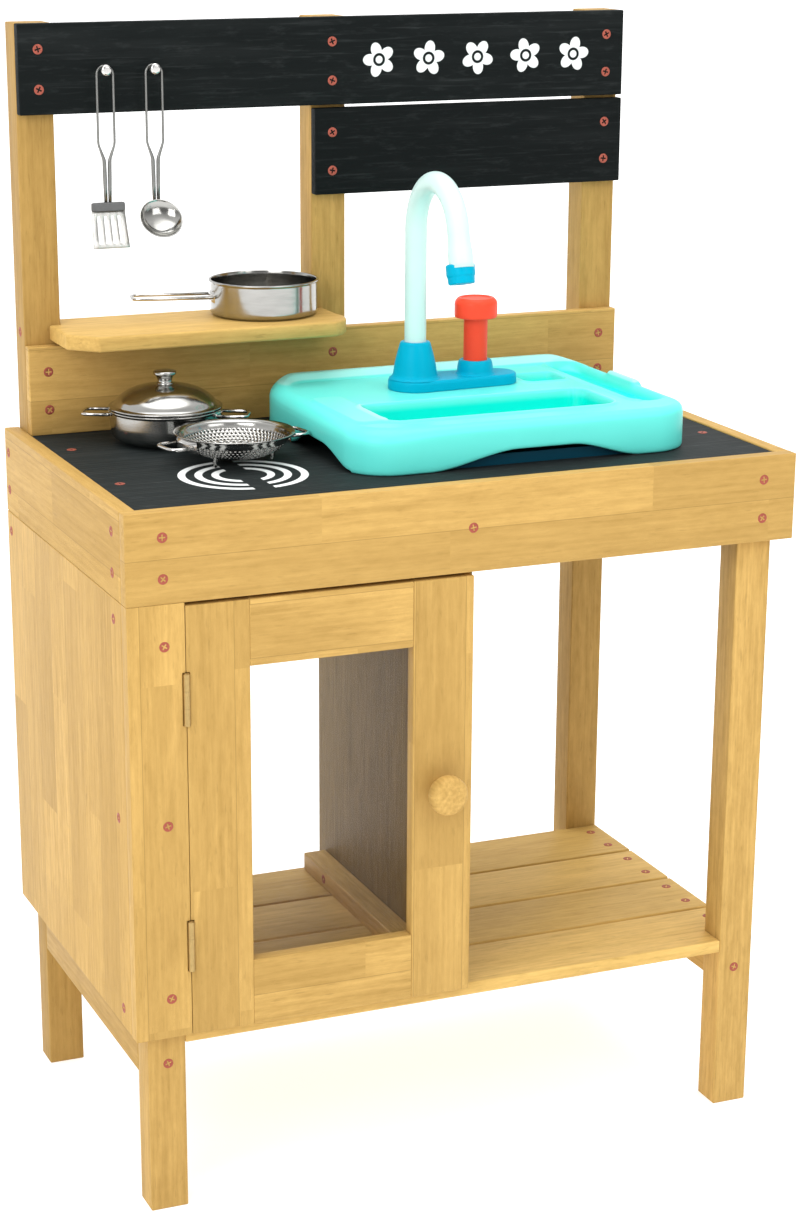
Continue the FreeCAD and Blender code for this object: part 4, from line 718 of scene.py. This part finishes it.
def deck_height(x, y):
    """The sink's upper surface over the counter: a round rim, a raised back, a lug and a
    rest at the sides, the basin with its lip, the soap dish and the drain groove."""
    rim = inside_by(x, y, (0, 0), SINK_SIZE, SINK_CORNER)
    edge = SINK_EDGE + 6.5 * smooth_step(-x, 60, 150) * smooth_step(-y, -110, -60)
    fall = np.clip(edge - rim, 0, edge)
    height = SINK_TOP - (edge - np.sqrt(np.maximum(edge ** 2 - fall ** 2, 0)))
    back = smooth_step(rim, 25, 13) * smooth_step(y, 72, 100) * smooth_step(np.abs(x), 164, 132)
    lug = smooth_step(rim, 15, 9) * smooth_step(x, 120, 150) * smooth_step(np.abs(y - 8), 30, 22)
    height = height + BACK_RISE * back + LUG_RISE * lug
    height = height + REST_RISE * smooth_step(inside_by(x, y, *REST), -1.5, 2.5)
    basin = inside_by(x, y, *BASIN)
    height = height + 1.8 * np.exp(-((basin + 2.2) / 2.4) ** 2)
    height = height + (BASIN_FLOOR - height) * smooth_step(basin, -0.3, 3.4)
    soap = inside_by(x, y, *SOAP_DISH)
    height = height + 1.0 * np.exp(-((soap + 1.5) / 1.8) ** 2)
    height = height - SOAP_DEPTH * smooth_step(soap, 0, 3.2)
    groove = inside_by(x, y, *GROOVE)
    height = height + 1.2 * np.exp(-((groove + 2.0) / 2.2) ** 2) * (x < 125)
    return height - GROOVE_DEPTH * smooth_step(groove, 0, 6.5)


def foot_height(x, y):
    """How high the skirt's lower edge is: a long soft arch in the front wall, steeper on the
    right, and one in each side wall, steeper at the back."""
    front = 14.5 * smooth_step(x, -98, -12) * smooth_step(-x, -108, -38)
    side = 15.0 * smooth_step(y, -112, -36) * smooth_step(-y, -42, 4)
    return front * (y < -SINK_SIZE[1] / 2 + 2) + side * (np.abs(x) > SINK_SIZE[0] / 2 - 3)


def sink_deck():
    """The deck on a grid whose rows end on the rounded outline."""
    half_w, half_d = SINK_SIZE[0] / 2, SINK_SIZE[1] / 2
    x_lines = fine_lines(-half_w, half_w, WALLS_ACROSS, 180)
    y_lines = fine_lines(-half_d, half_d, WALLS_ALONG, 136)
    turn = half_d - SINK_CORNER + SINK_CORNER * np.sin(np.radians(np.arange(40, 90, 4)))
    y_lines = np.unique(np.round(np.concatenate([y_lines, turn, -turn]), 1))
    x, y = np.meshgrid(x_lines, y_lines)
    past = np.clip(np.abs(y) - (half_d - SINK_CORNER), 0, SINK_CORNER)
    reach = half_w - SINK_CORNER + np.sqrt(np.maximum(SINK_CORNER ** 2 - past ** 2, 0))
    x = x / half_w * reach
    return gridded(np.stack([x, y, deck_height(x, y)], axis=-1), ring=False)


def sink_skirt(deck):
    """The wall from the deck's edge down to the feet: the edge's loop of points is carried
    down a profile that curls in at the foot."""
    loop = np.concatenate([deck[0, :-1], deck[:-1, -1], deck[-1, :0:-1], deck[:0:-1, 0]])
    x, y, top = loop[:, 0], loop[:, 1], loop[:, 2]
    straight = np.array(SINK_SIZE) / 2 - SINK_CORNER
    out = loop[:, :2] - np.clip(loop[:, :2], -straight, straight)
    out /= np.linalg.norm(out, axis=1)[:, None]
    foot = foot_height(x, y)
    share = np.array([0, 0.2, 0.4, 0.6, 0.8, 0.92, 0.97, 1.0])[:, None]
    curl = np.array([0, 0, 0, 0, 0, 0.15, 0.8, 2.4])[:, None]
    z = top + (foot - top) * share
    return gridded(np.stack([x - out[:, 0] * curl, y - out[:, 1] * curl, z], axis=-1))


deck = sink_deck()
sink_grids = [moved(deck, SINK_MIDDLE), moved(sink_skirt(deck[0]), SINK_MIDDLE)]
sink = dressed("moulded_sink", sink_grids, "sink_unit", aqua)
thickened(sink, 2.6)
print("sink faces", len(sink.data.polygons))

# %% [markdown]
# The tap's base is a plate that follows two circles, with a cone for the spout and a
# collar for the pump. Every point of the plate's outline is tied to the nearest point of
# the line between the two centres, so the plate can be carried in to that line as a
# turned piece is carried in to its axis.

# %% Tap
TAP_SPOT, PUMP_OFFSET = (36.5, 218.0, 673.0), 60.5
PLATE_BIG, PLATE_SMALL, PLATE_REACH = 25.0, 19.5, 81.5


def plate_grid(big, small, distance, profile):
    """A plate round two circles. A profile of inset and height is carried along the outline;
    the inset moves each point towards the line between the centres."""
    lean = math.acos((big - small) / distance)
    round_big = np.linspace(lean, 2 * math.pi - lean, 49)
    round_small = np.linspace(-lean, lean, 33)
    x = np.concatenate([big * np.cos(round_big), distance + small * np.cos(round_small)])
    y = np.concatenate([big * np.sin(round_big), small * np.sin(round_small)])
    centre_x = np.clip(x, 0, distance)
    to_line = np.hypot(x - centre_x, y)
    inset, height = np.asarray(profile, float).T
    share = np.minimum(inset[:, None] / to_line, 1.0)
    level = np.repeat(height[:, None], len(x), 1)
    return gridded(np.stack([x + (centre_x - x) * share, y * (1 - share), level], -1))


plate_profile = softened([(60, 0), (0.6, 0), (0, 1), (0.4, 10), (60, 10)], [0, 0.5, 0.5, 3.2, 0], 6)
boss_grid = lathed([(10.0, 14), (10.0, 43.6), (13.6, 43.6), (18.2, 27), (20.6, 12.5), (24.0, 9.8)],
                   [0, 0.5, 2.4, 6, 3, 0], 7, 80)
collar_grid = lathed([(11.05, 10), (11.05, 23), (14.8, 23), (16.2, 19), (16.8, 12), (18.6, 9.8)],
                     [0, 0.5, 1.6, 3, 2, 0], 6, 72)
plate = plate_grid(PLATE_BIG, PLATE_SMALL, PLATE_REACH, plate_profile)
base_grids = [moved(plate, TAP_SPOT), moved(boss_grid, TAP_SPOT),
              moved(collar_grid, np.add(TAP_SPOT, (PUMP_OFFSET, 0, 0)))]
tap_base = dressed("moulded_tap_base", base_grids, "tap_base", tap_blue)

# %% [markdown]
# The spout is a bent tube, so a circle is carried along a path. It widens a little at its
# end, where the blue nozzle is pushed over it.

# %% Spout
SPOUT_R, BEND_R, BEND_ANGLE, COLUMN, DROP = 9.9, 47.0, 166.0, 131.4, 33.0
NOZZLE_LOWER = 2.4
spout_foot = np.add(TAP_SPOT, (0, 0, 13.6))


def spout_path():
    """Up a column, round an arc towards the front, and down a short drop: heights along the
    column, then the centre plus the radius times cosine and sine, then the last direction."""
    column = np.stack([np.zeros(12), np.zeros(12), np.linspace(0, COLUMN, 12)], -1)
    angle = np.radians(np.linspace(0, BEND_ANGLE, 48))[1:]
    arc = np.stack([0 * angle, BEND_R * (np.cos(angle) - 1), COLUMN + BEND_R * np.sin(angle)], -1)
    last = math.radians(BEND_ANGLE)
    way = np.array([0, -math.sin(last), math.cos(last)])
    drop = arc[-1] + way * np.linspace(0, DROP, 8)[1:, None]
    return np.concatenate([column, arc, drop])


spout_line = spout_path()
to_end = len(spout_line) - np.arange(len(spout_line))
flare = SPOUT_R + 1.2 * smooth_step(-to_end, -6, -3)
spout_grid = moved(tube_grid(spout_line, flare, (1, 0, 0), 48), spout_foot)
spout = dressed("bent_spout", [spout_grid], "spout_tube", spout_mint)
nozzle_grid = lathed([(11.2, 1.5), (11.2, 9), (12.0, 9), (12.8, 8), (12.8, -1), (12.0, -2.2),
                      (11.7, -8.5), (4, -8.5), (4, 1.5)],
                     [0, 0.3, 0.7, 0.9, 1.0, 1.2, 1.4, 0.4, 0], 4, 72)
nozzle_spot = middle_of("nozzle") - (0, 0, NOZZLE_LOWER)
nozzle_grid = moved(nozzle_grid, nozzle_spot, tip=BEND_ANGLE - 180)
dressed("moulded_nozzle", [nozzle_grid], "nozzle", tap_blue)

# %% [markdown]
# The pump's plunger and its red cap are one turned piece, with a shallow dish on top for
# the thumb. It slides in the collar, so it rides on a body of its own.

# %% Pump
cap_grid = lathed([(0, -28), (11, -28), (11, 39), (19.4, 39.2), (19.8, 41.5), (19.8, 53.5),
                   (16.5, 57.5), (14.0, 57.3), (13.2, 56.3), (0, 56.3)],
                  [0, 0.4, 0.8, 0.8, 1.5, 2.6, 2.0, 0.8, 0.6, 0], 6, 80)
pump_spot = np.add(TAP_SPOT, (PUMP_OFFSET, 0, 23))
pump = dressed("moulded_pump", [moved(cap_grid, pump_spot)], "pump_plunger", pump_red)
print("tap pieces", len(tap_base.data.polygons), len(spout.data.polygons), len(pump.data.polygons))

# %% [markdown]
# A spring under the cap pushes the plunger back. The coil is a tube along a helix, and it
# is squashed towards its foot as the plunger goes down.

# %% Return spring
SPRING_LOW, SPRING_HIGH, SPRING_TURNS, SPRING_R, SPRING_WIRE = 638.9, 667.1, 6.5, 8.3, 0.6


def spring_path():
    """A coil: the angle runs evenly, and the height rises between one flat turn at each end."""
    turn = np.linspace(0, SPRING_TURNS, int(SPRING_TURNS * 28))
    rise = np.clip((turn - 0.8) / (SPRING_TURNS - 1.6), 0, 1)
    x, y = SPRING_R * np.cos(2 * math.pi * turn), SPRING_R * np.sin(2 * math.pi * turn)
    return np.stack([x, y, SPRING_LOW + rise * (SPRING_HIGH - SPRING_LOW)], -1)


spring_spot = (pump_spot[0], pump_spot[1], 0.0)
spring_grid = moved(tube_grid(spring_path(), SPRING_WIRE, (0, 0, 1), 8), spring_spot)
spring = dressed("coiled_spring", [spring_grid], "pump_spring", zinc)
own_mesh(spring)
print("spring from", SPRING_LOW, "to", SPRING_HIGH)

# %% [markdown]
# The pots are pressed and spun from thin sheet, so each is one profile carried round an
# axis, outside wall first and then back down the inside. Rims are rolled, which a small
# bead in the profile shows. Handles are round wire bent in a loop and spot-welded to a
# small plate, so they are tubes along a rounded path, turned to their place on the wall.

# %% Pots
HANDLE_WIRE, HANDLE_BEND = 1.6, 9.0


def wire_handle(wall, reach, width, height, spot, spin):
    """A loop of wire that leaves a vessel's wall, goes out, across and back."""
    half, start, end = width / 2, wall - 0.2, reach - HANDLE_WIRE
    corners = [(start, -half, height), (end, -half, height), (end, half, height),
               (start, half, height)]
    loop = tube_grid(softened(corners, HANDLE_BEND, 10), HANDLE_WIRE, (0, 0, 1), 14)
    return moved(loop, spot, spin)


def weld_plate(wall, width, height, tall, spot, spin):
    """A small plate bent to the wall: a cushion-shaped sheet on an arc of the wall's radius."""
    angle = np.linspace(-1, 1, 15) * (width / 2) / wall
    level = np.linspace(-1, 1, 7) * tall / 2
    a, z = np.meshgrid(angle, level)
    bulge = 1.7 * (1 - (a / angle[-1]) ** 6) * (1 - (z / level[-1]) ** 6)
    outer = np.stack([(wall + bulge) * np.cos(a), (wall + bulge) * np.sin(a), z + height], -1)
    return moved(gridded(outer, ring=False), spot, spin)


CASSEROLE, LID = (-190.0, 262.0, 633.0), (-190.0, 262.0, 664.3)
COLANDER, SAUCEPAN = (-160.0, 161.0, 633.0), (-71.0, 326.0, 732.0)
vessel_rows = [
    ("spun_casserole", "casserole_pot", CASSEROLE, 112,
     [(0, 0), (38, 0), (48.5, 6), (50, 14), (50, 28.5), (51.2, 29.5), (51.2, 31), (49.2, 31),
      (48.8, 28), (48.8, 14), (47.3, 7.5), (37.6, 1.2), (0, 1.2)],
     [0, 5, 5, 4, .6, .6, .7, .7, .6, 4, 5, 4, 0]),
    ("spun_lid", "casserole_lid", LID, 112,
     [(0, 22), (10.5, 21.8), (31, 17.4), (43.5, 9.2), (47, 3.6), (48.5, 2.6), (51.5, 2.4),
      (51.5, 0.6), (48, 0.4), (46.2, 2.4), (42.5, 8.2), (31, 16.2), (10.5, 20.6), (0, 20.8)],
     [0, 3, 8, 5, 1.5, 1, .8, .8, 1, 2, 4, 8, 3, 0]),
    ("spun_lid_knob", "lid_knob", LID, 64,
     [(0, 21.6), (7.9, 21.6), (7.6, 22.6), (6.3, 23.8), (7.0, 27.0), (8.8, 29.6), (10.3, 30.2),
      (10.5, 31.2), (10.5, 32.4), (9.6, 33.4), (6, 34), (0, 34)],
     [0, .4, .6, 1.4, 3, 2, .5, .5, .6, .8, 2, 0]),
    ("spun_saucepan", "saucepan_pot", SAUCEPAN, 112,
     [(0, 0), (46, 0), (49.4, 2.2), (50, 5), (50, 30.6), (51.4, 31.6), (51.4, 33), (49.2, 33),
      (48.8, 30), (48.8, 5.4), (47, 1.8), (0, 1.2)],
     [0, 2, 2, 2, .6, .6, .7, .7, .6, 2, 1.5, 0])]
for name, node, spot, sides, profile, radii in vessel_rows:
    dressed(name, [moved(lathed(profile, radii, 5, sides), spot)], node, tin)
print(len(vessel_rows), "spun pieces")

# %% Handles
handle_rows = [("casserole_handles", CASSEROLE, 50, 77, 27, 26, (-27, 153)),
               ("colander_handles", COLANDER, 50.5, 71.5, 30, 19.5, (10, 190)),
               ("saucepan_handle", SAUCEPAN, 50, 125, 25, 18, (168,))]
for node, spot, wall, reach, width, height, spins in handle_rows:
    grids = [wire_handle(wall, reach, width, height, spot, spin) for spin in spins]
    grids += [weld_plate(wall, width + 6, height, 10, spot, spin) for spin in spins]
    dressed("bent_" + node, grids, node, bright_wire)
print(sum(len(row[-1]) for row in handle_rows), "handles")

# %% [markdown]
# The colander's wall is full of small holes. They are real openings: cells of the bowl's
# grid are left out in staggered rows, and the sheet then gets its thickness. Three small
# feet and a rolled rim go with it.

# %% Colander
HOLE_COLUMNS, FOOT_REACH = 144, 33.0
bowl_profile = softened([(0, 5.4), (19, 5.4), (30, 7.2), (41, 12.5), (47.5, 20.5), (49.4, 25.4),
                         (53.2, 26.2), (53.4, 26.9)], [0, 2, 6, 8, 6, 1.2, 0.3, 0], 6)


def even_profile(profile, step):
    """The same line with points at even distances along it."""
    run = np.concatenate([[0], np.cumsum(np.linalg.norm(np.diff(profile, axis=0), axis=1))])
    there = np.linspace(0, run[-1], int(run[-1] / step) + 1)
    return np.stack([np.interp(there, run, part) for part in profile.T], -1)


def pierced_bowl():
    """The bowl's grid without the cells where its row and column say hole."""
    profile = even_profile(bowl_profile, 1.7)
    points, faces = turned_grid(profile, HOLE_COLUMNS)
    row, column = faces[:, 0] // HOLE_COLUMNS, faces[:, 0] % HOLE_COLUMNS
    radius = profile[row, 0]
    pitch = np.where(radius > 34, 2, np.where(radius > 17, 4, 8))
    hole = (row % 2 == 0) & ((column + (row // 2 % 2) * pitch // 2) % pitch == 0)
    hole &= (radius > 8) & (profile[row, 1] < 19.5)
    return points, faces[~hole]


bowl = dressed("pierced_colander", [moved(pierced_bowl(), COLANDER)], "colander_bowl", tin, False)
thickened(bowl, 0.9, 0.0)
foot = lathed([(0, 9.5), (2.2, 9.5), (1.9, 1), (0, 0)], [0, .4, .9, 0], 4, 20)
feet = [moved(foot, (FOOT_REACH * math.cos(a), FOOT_REACH * math.sin(a), 0))
        for a in np.radians((-140, -20, 100))]
rim = lathed([(52.6, 26), (53.6, 26), (53.6, 27), (52.6, 27), (52.6, 26)], 0.4, 3, HOLE_COLUMNS)
rings = [moved(grid, COLANDER) for grid in (*feet, rim)]
added("colander_rings", rings, "colander", tin)
print("colander faces", len(bowl.data.polygons))

# %% [markdown]
# The utensils hang from pegs by the eye of a doubled wire. The wire is one flat path: up
# one shank, round the eye and down the other. The ladle's cup is a turned sheet that
# faces forwards, and the turner's blade is a thin slotted plate that leans forwards.

# %% Utensils
UTENSIL_Y, PEG_FOOT_Y, PEG_Z, LOOP_R = 316.0, 326.6, 959.5, 7.6
SHANK_FOOT, BLADE_LENGTH, CUP_R, CUP_TILT = PEG_Z - 116.5, 33.0, 20.0, 38.0


def hanging_wire(x):
    """Up one shank, out at a shoulder, round the eye that rests on the peg, and the same way
    down: the second half is the first one mirrored."""
    angle = np.linspace(math.pi, math.pi / 2, 13)
    eye = np.stack([LOOP_R * np.cos(angle), PEG_Z - 4.2 + LOOP_R * np.sin(angle)], -1)
    rise = [(-1.9, SHANK_FOOT), (-2.2, PEG_Z - 98), (-2.5, PEG_Z - 79), (-LOOP_R, PEG_Z - 65),
            (-LOOP_R, PEG_Z - 20)]
    half = np.concatenate([softened(rise, [0, 3, 3, 3, 0], 5), eye])
    line = np.concatenate([half, half[-2::-1] * (-1, 1)])
    path = np.stack([line[:, 0] + x, np.full(len(line), UTENSIL_Y), line[:, 1]], -1)
    thick = 1.1 + 0.75 * smooth_step(line[:, 1], PEG_Z - 68, PEG_Z - 84)
    thick = thick - 0.25 * smooth_step(line[:, 1], PEG_Z - 95, PEG_Z - 116)
    return tube_grid(path, thick, (0, 1, 0), 12)


def turner_blade(x):
    """A flat blade that widens and leans forwards on its way down, with four long slots left
    out of its grid."""
    columns = np.array([-1, -.69, -.51, -.29, -.11, .11, .29, .51, .69, 1.0])
    levels = np.array([0, 5.0, 10.0, 15.0, 20.0, 25.0, 29.0, BLADE_LENGTH])
    s, t = np.meshgrid(columns, levels)
    lean = 9.0 * (t / BLADE_LENGTH) ** 1.3
    points = np.stack([x + s * (15.5 + t / 22.0), UTENSIL_Y - lean, SHANK_FOOT - 7 - t], -1)
    points, faces = gridded(points, ring=False)
    row, column = faces[:, 0] // len(columns), faces[:, 0] % len(columns)
    slot = (column % 2 == 1) & (column < 8) & (row >= 1) & (row <= 5)
    return points, faces[~slot]


def soft_box(middle, size, power=8.0, count=17):
    """A squared block with soft edges: a ball whose directions are raised to a high power,
    so that x^p + y^p + z^p = 1."""
    u = np.linspace(-math.pi / 2, math.pi / 2, count)[:, None]
    v = np.linspace(-math.pi, math.pi, 4 * count, endpoint=False)[None, :]
    way = np.stack([np.cos(u) * np.cos(v), np.cos(u) * np.sin(v), np.sin(u) + 0 * v], -1)
    length = (np.abs(way) ** power).sum(-1) ** (1 / power)
    return gridded(way / length[..., None] * np.asarray(size) / 2 + np.asarray(middle))


turner_x, ladle_x = -222.5, -177.0
dressed("bent_turner", [hanging_wire(turner_x)], "turner", hung_wire)
socket_spot = (turner_x, UTENSIL_Y, SHANK_FOOT - 4)
added("turner_socket", [soft_box(socket_spot, (31, 4, 8.4), 10)], "turner", steel_grey)
thickened(added("slotted_blade", [turner_blade(turner_x)], "turner", pale_tin, False), 0.8, 0.0)
dressed("bent_ladle", [hanging_wire(ladle_x)], "ladle", hung_wire)
cup_grid = lathed([(0, -9), (9, -8.6), (16, -5.2), (19.4, -0.8), (20, 0), (19.0, 0.2),
                   (18.4, -0.8), (15.2, -4.2), (8.6, -7.5), (0, -7.9)],
                  [0, 4, 4, .5, .4, .4, .5, 4, 4, 0], 5, 64)
tilt = math.radians(CUP_TILT)
cup_spot = (ladle_x, UTENSIL_Y - CUP_R * math.sin(tilt) - 1.1,
            SHANK_FOOT - CUP_R * math.cos(tilt) + 1.1)
added("ladle_cup", [moved(cup_grid, cup_spot, tip=90 - CUP_TILT)], "ladle", tin)
peg_grid = lathed([(0, 0), (2, 0), (2, 14), (5, 14.4), (5, 16.5), (3.4, 18), (0, 18)],
                  [0, .1, .3, .8, 1.2, 1, 0], 4, 32)
peg_grids = [moved(peg_grid, (x, PEG_FOOT_Y, PEG_Z), tip=90) for x in (turner_x, ladle_x)]
dressed("round_pegs", peg_grids, "utensil_pegs", bright_wire)
print("utensils hang at", turner_x, "and", ladle_x)

# %% [markdown]
# Fifty-nine wood screws hold the kitchen together. Each has a countersunk head with a
# cross recess. Their places are read from the CAD solids: the loose parts of a node are
# found, and the wide end of each part is its head.

# %% Screws
HEAD_SIDES = 48


def screw_places(node):
    """Head centre and outward direction of every screw of a node, in metres. Each point
    takes the lowest number found on its spot and at the far ends of its edges, until
    nothing changes: the points of one screw then share a number. The head is the end with
    the widest ring."""
    mesh = frame["nodes"][node].data
    points, ends = mesh_points(mesh), np.empty(len(mesh.edges) * 2, int)
    mesh.edges.foreach_get("vertices", ends)
    first, last = ends.reshape(-1, 2).T
    spot_of = np.unique(points.round(5), axis=0, return_inverse=True)[1].ravel()
    number, before = np.arange(len(points)), None
    while before is None or (number != before).any():
        before, lowest = number, np.full(len(points), len(points))
        np.minimum.at(lowest, spot_of, number)
        number = lowest[spot_of]
        np.minimum.at(number, first, number[last])
        np.minimum.at(number, last, number[first])
    places = []
    for screw in np.unique(number):
        island = points[number == screw]
        low, high = island.min(0), island.max(0)
        axis = int(np.argmax(high - low))
        sides = [a for a in range(3) if a != axis]
        rings = [island[np.abs(island[:, axis] - end[axis]) < 2e-4] for end in (low, high)]
        widths = [np.ptp(ring[:, sides], axis=0).max() for ring in rings]
        spot, way = (low + high) / 2, np.zeros(3)
        way[axis] = -1.0 if widths[0] > widths[1] else 1.0
        spot[axis] = low[axis] if way[axis] < 0 else high[axis]
        places.append((spot, way))
    return places


def screw_head():
    """A head in millimetres that looks up: rings of a disc whose height drops inside a
    cross. The cross is where the smaller of |x| and |y| is under the slot's half width."""
    radius = np.array([0, 0.5, 1.0, 1.5, 2.0, 2.5, 3.0, 3.6, 4.1, 4.4, 4.5, 4.5])
    angle = np.linspace(0, 2 * math.pi, HEAD_SIDES, endpoint=False)
    x, y = radius[:, None] * np.cos(angle), radius[:, None] * np.sin(angle)
    arm = np.minimum(np.abs(x), np.abs(y))
    recess = smooth_step(arm, 0.75, 0.35) * smooth_step(radius[:, None], 3.1, 2.3)
    dome = np.array([0, 0, 0, 0, 0, 0, -0.02, -0.06, -0.13, -0.25, -0.4, -0.9])[:, None] + 0 * x
    return gridded(np.stack([x, y, dome - 1.3 * recess], -1))


def placed_heads(node):
    """One grid for each screw, its upward axis laid along the screw's direction."""
    points, faces = screw_head()
    grids = []
    for number, (spot, way) in enumerate(screw_places(node)):
        side = np.array([0, 0, 1.0]) if abs(way[2]) < 0.5 else np.array([1.0, 0, 0])
        other = np.cross(way, side)
        turn = number * 0.83
        right = side * math.cos(turn) + other * math.sin(turn)
        up = np.cross(way, right)
        flat = points.reshape(-1, 3) * MM
        placed = spot + flat[:, :1] * right + flat[:, 1:2] * up + flat[:, 2:] * way
        grids.append((placed, faces))
    return grids


screw_total = 0
for node in ("screws_front", "screws_sides", "screws_back_wall", "screws_counter", "screws_floor"):
    grids = placed_heads(node)
    heads = joined_grids("heads_" + node, grids, False)
    settled(heads, copper, "root", node)
    screw_total += len(grids)
print(screw_total, "screws")

# %% [markdown]
# The remaining small pieces keep their CAD shapes and only take a finish.

# %% Small pieces
small_finishes = {"door_pane": acrylic, "reservoir": tub_navy, "pump_cylinder": tub_navy,
                  "hinge_leaves_fixed": brass, "hinge_leaves_door": brass, "hinge_pins": brass,
                  "strike_plate": zinc, "magnetic_catch": catch_white}
for node, finish in small_finishes.items():
    mesh = frame["nodes"][node].data
    mesh.materials.clear()
    mesh.materials.append(finish)
print(len(small_finishes), "pieces keep their CAD shape")

# %% [markdown]
# The studio is a pale floor in a white surround, with one large soft lamp from the upper
# left and a weaker one from the right. Polished metal needs something to show, so the
# surround is dark in front and grows brighter behind and overhead. A thin bright band at
# the horizon joins it to the floor.

# %% Studio
FLOOR_REACH = 60.0
corners = FLOOR_REACH * np.array([[-1, -1, 0], [1, -1, 0], [1, 1, 0], [-1, 1, 0]])
floor = joined_grids("studio_floor", [(corners, np.array([[0, 1, 2, 3]]))], False)
floor_paint = Paint(bpy.data.materials.new("pale_floor"), Roughness=0.7,
                    Emission_Color=(1.0, 1.0, 1.0, 1.0), Emission_Strength=0.62)
cloud = floor_paint.noise(floor_paint.place(), 3.0)
floor_paint.feed(Base_Color=floor_paint.mix(cloud, (0.60, 0.60, 0.60), (0.57, 0.57, 0.57)))
floor.data.materials.append(floor_paint.material)


def soft_lamp(name, place, target, size, power):
    """A square lamp that faces a point."""
    lamp = linked(name, bpy.data.lights.new(name, "AREA"))
    lamp.data.size, lamp.data.energy = size, power
    lamp.location = place
    way = np.array(place, float) - np.array(target, float)
    tilt, turn = math.acos(way[2] / np.linalg.norm(way)), math.atan2(way[1], way[0])
    lamp.rotation_euler = (tilt, 0, turn + math.pi / 2)


soft_lamp("key", (-2.2, -1.9, 2.0), (0, 0, 0.55), 1.7, 41)
soft_lamp("fill", (0.9, -2.4, 1.9), (0.1, 0, 0.3), 1.5, 20)
sky = Paint(bpy.data.worlds.new("studio_surround"), "Background", Color=(1.0, 1.0, 1.0, 1.0))
bpy.context.scene.world = sky.material
surround = [((0.0, 0.40, 0.92), ((0.0, 0.26), (0.30, 0.66), (0.60, 1.05), (1.0, 1.20))),
            ((0.0, 0.0, 1.0), ((0.0, 0.80), (0.04, 0.70), (0.12, 0.0), (0.84, 0.0), (0.93, 2.8),
                               (1.0, 3.0)))]
way = sky.node("ShaderNodeTexCoord", output="Generated")
light = 0.0
for axis, stops in surround:
    inputs = {0: way, 1: axis}
    along = sky.node("ShaderNodeVectorMath", {"operation": "DOT_PRODUCT"}, inputs, "Value")
    light = sky.ramp(along, stops) + light
sky.feed(Strength=light)
bpy.context.scene.view_settings.view_transform = "Standard"
print(len(bpy.data.lights), "lamps")
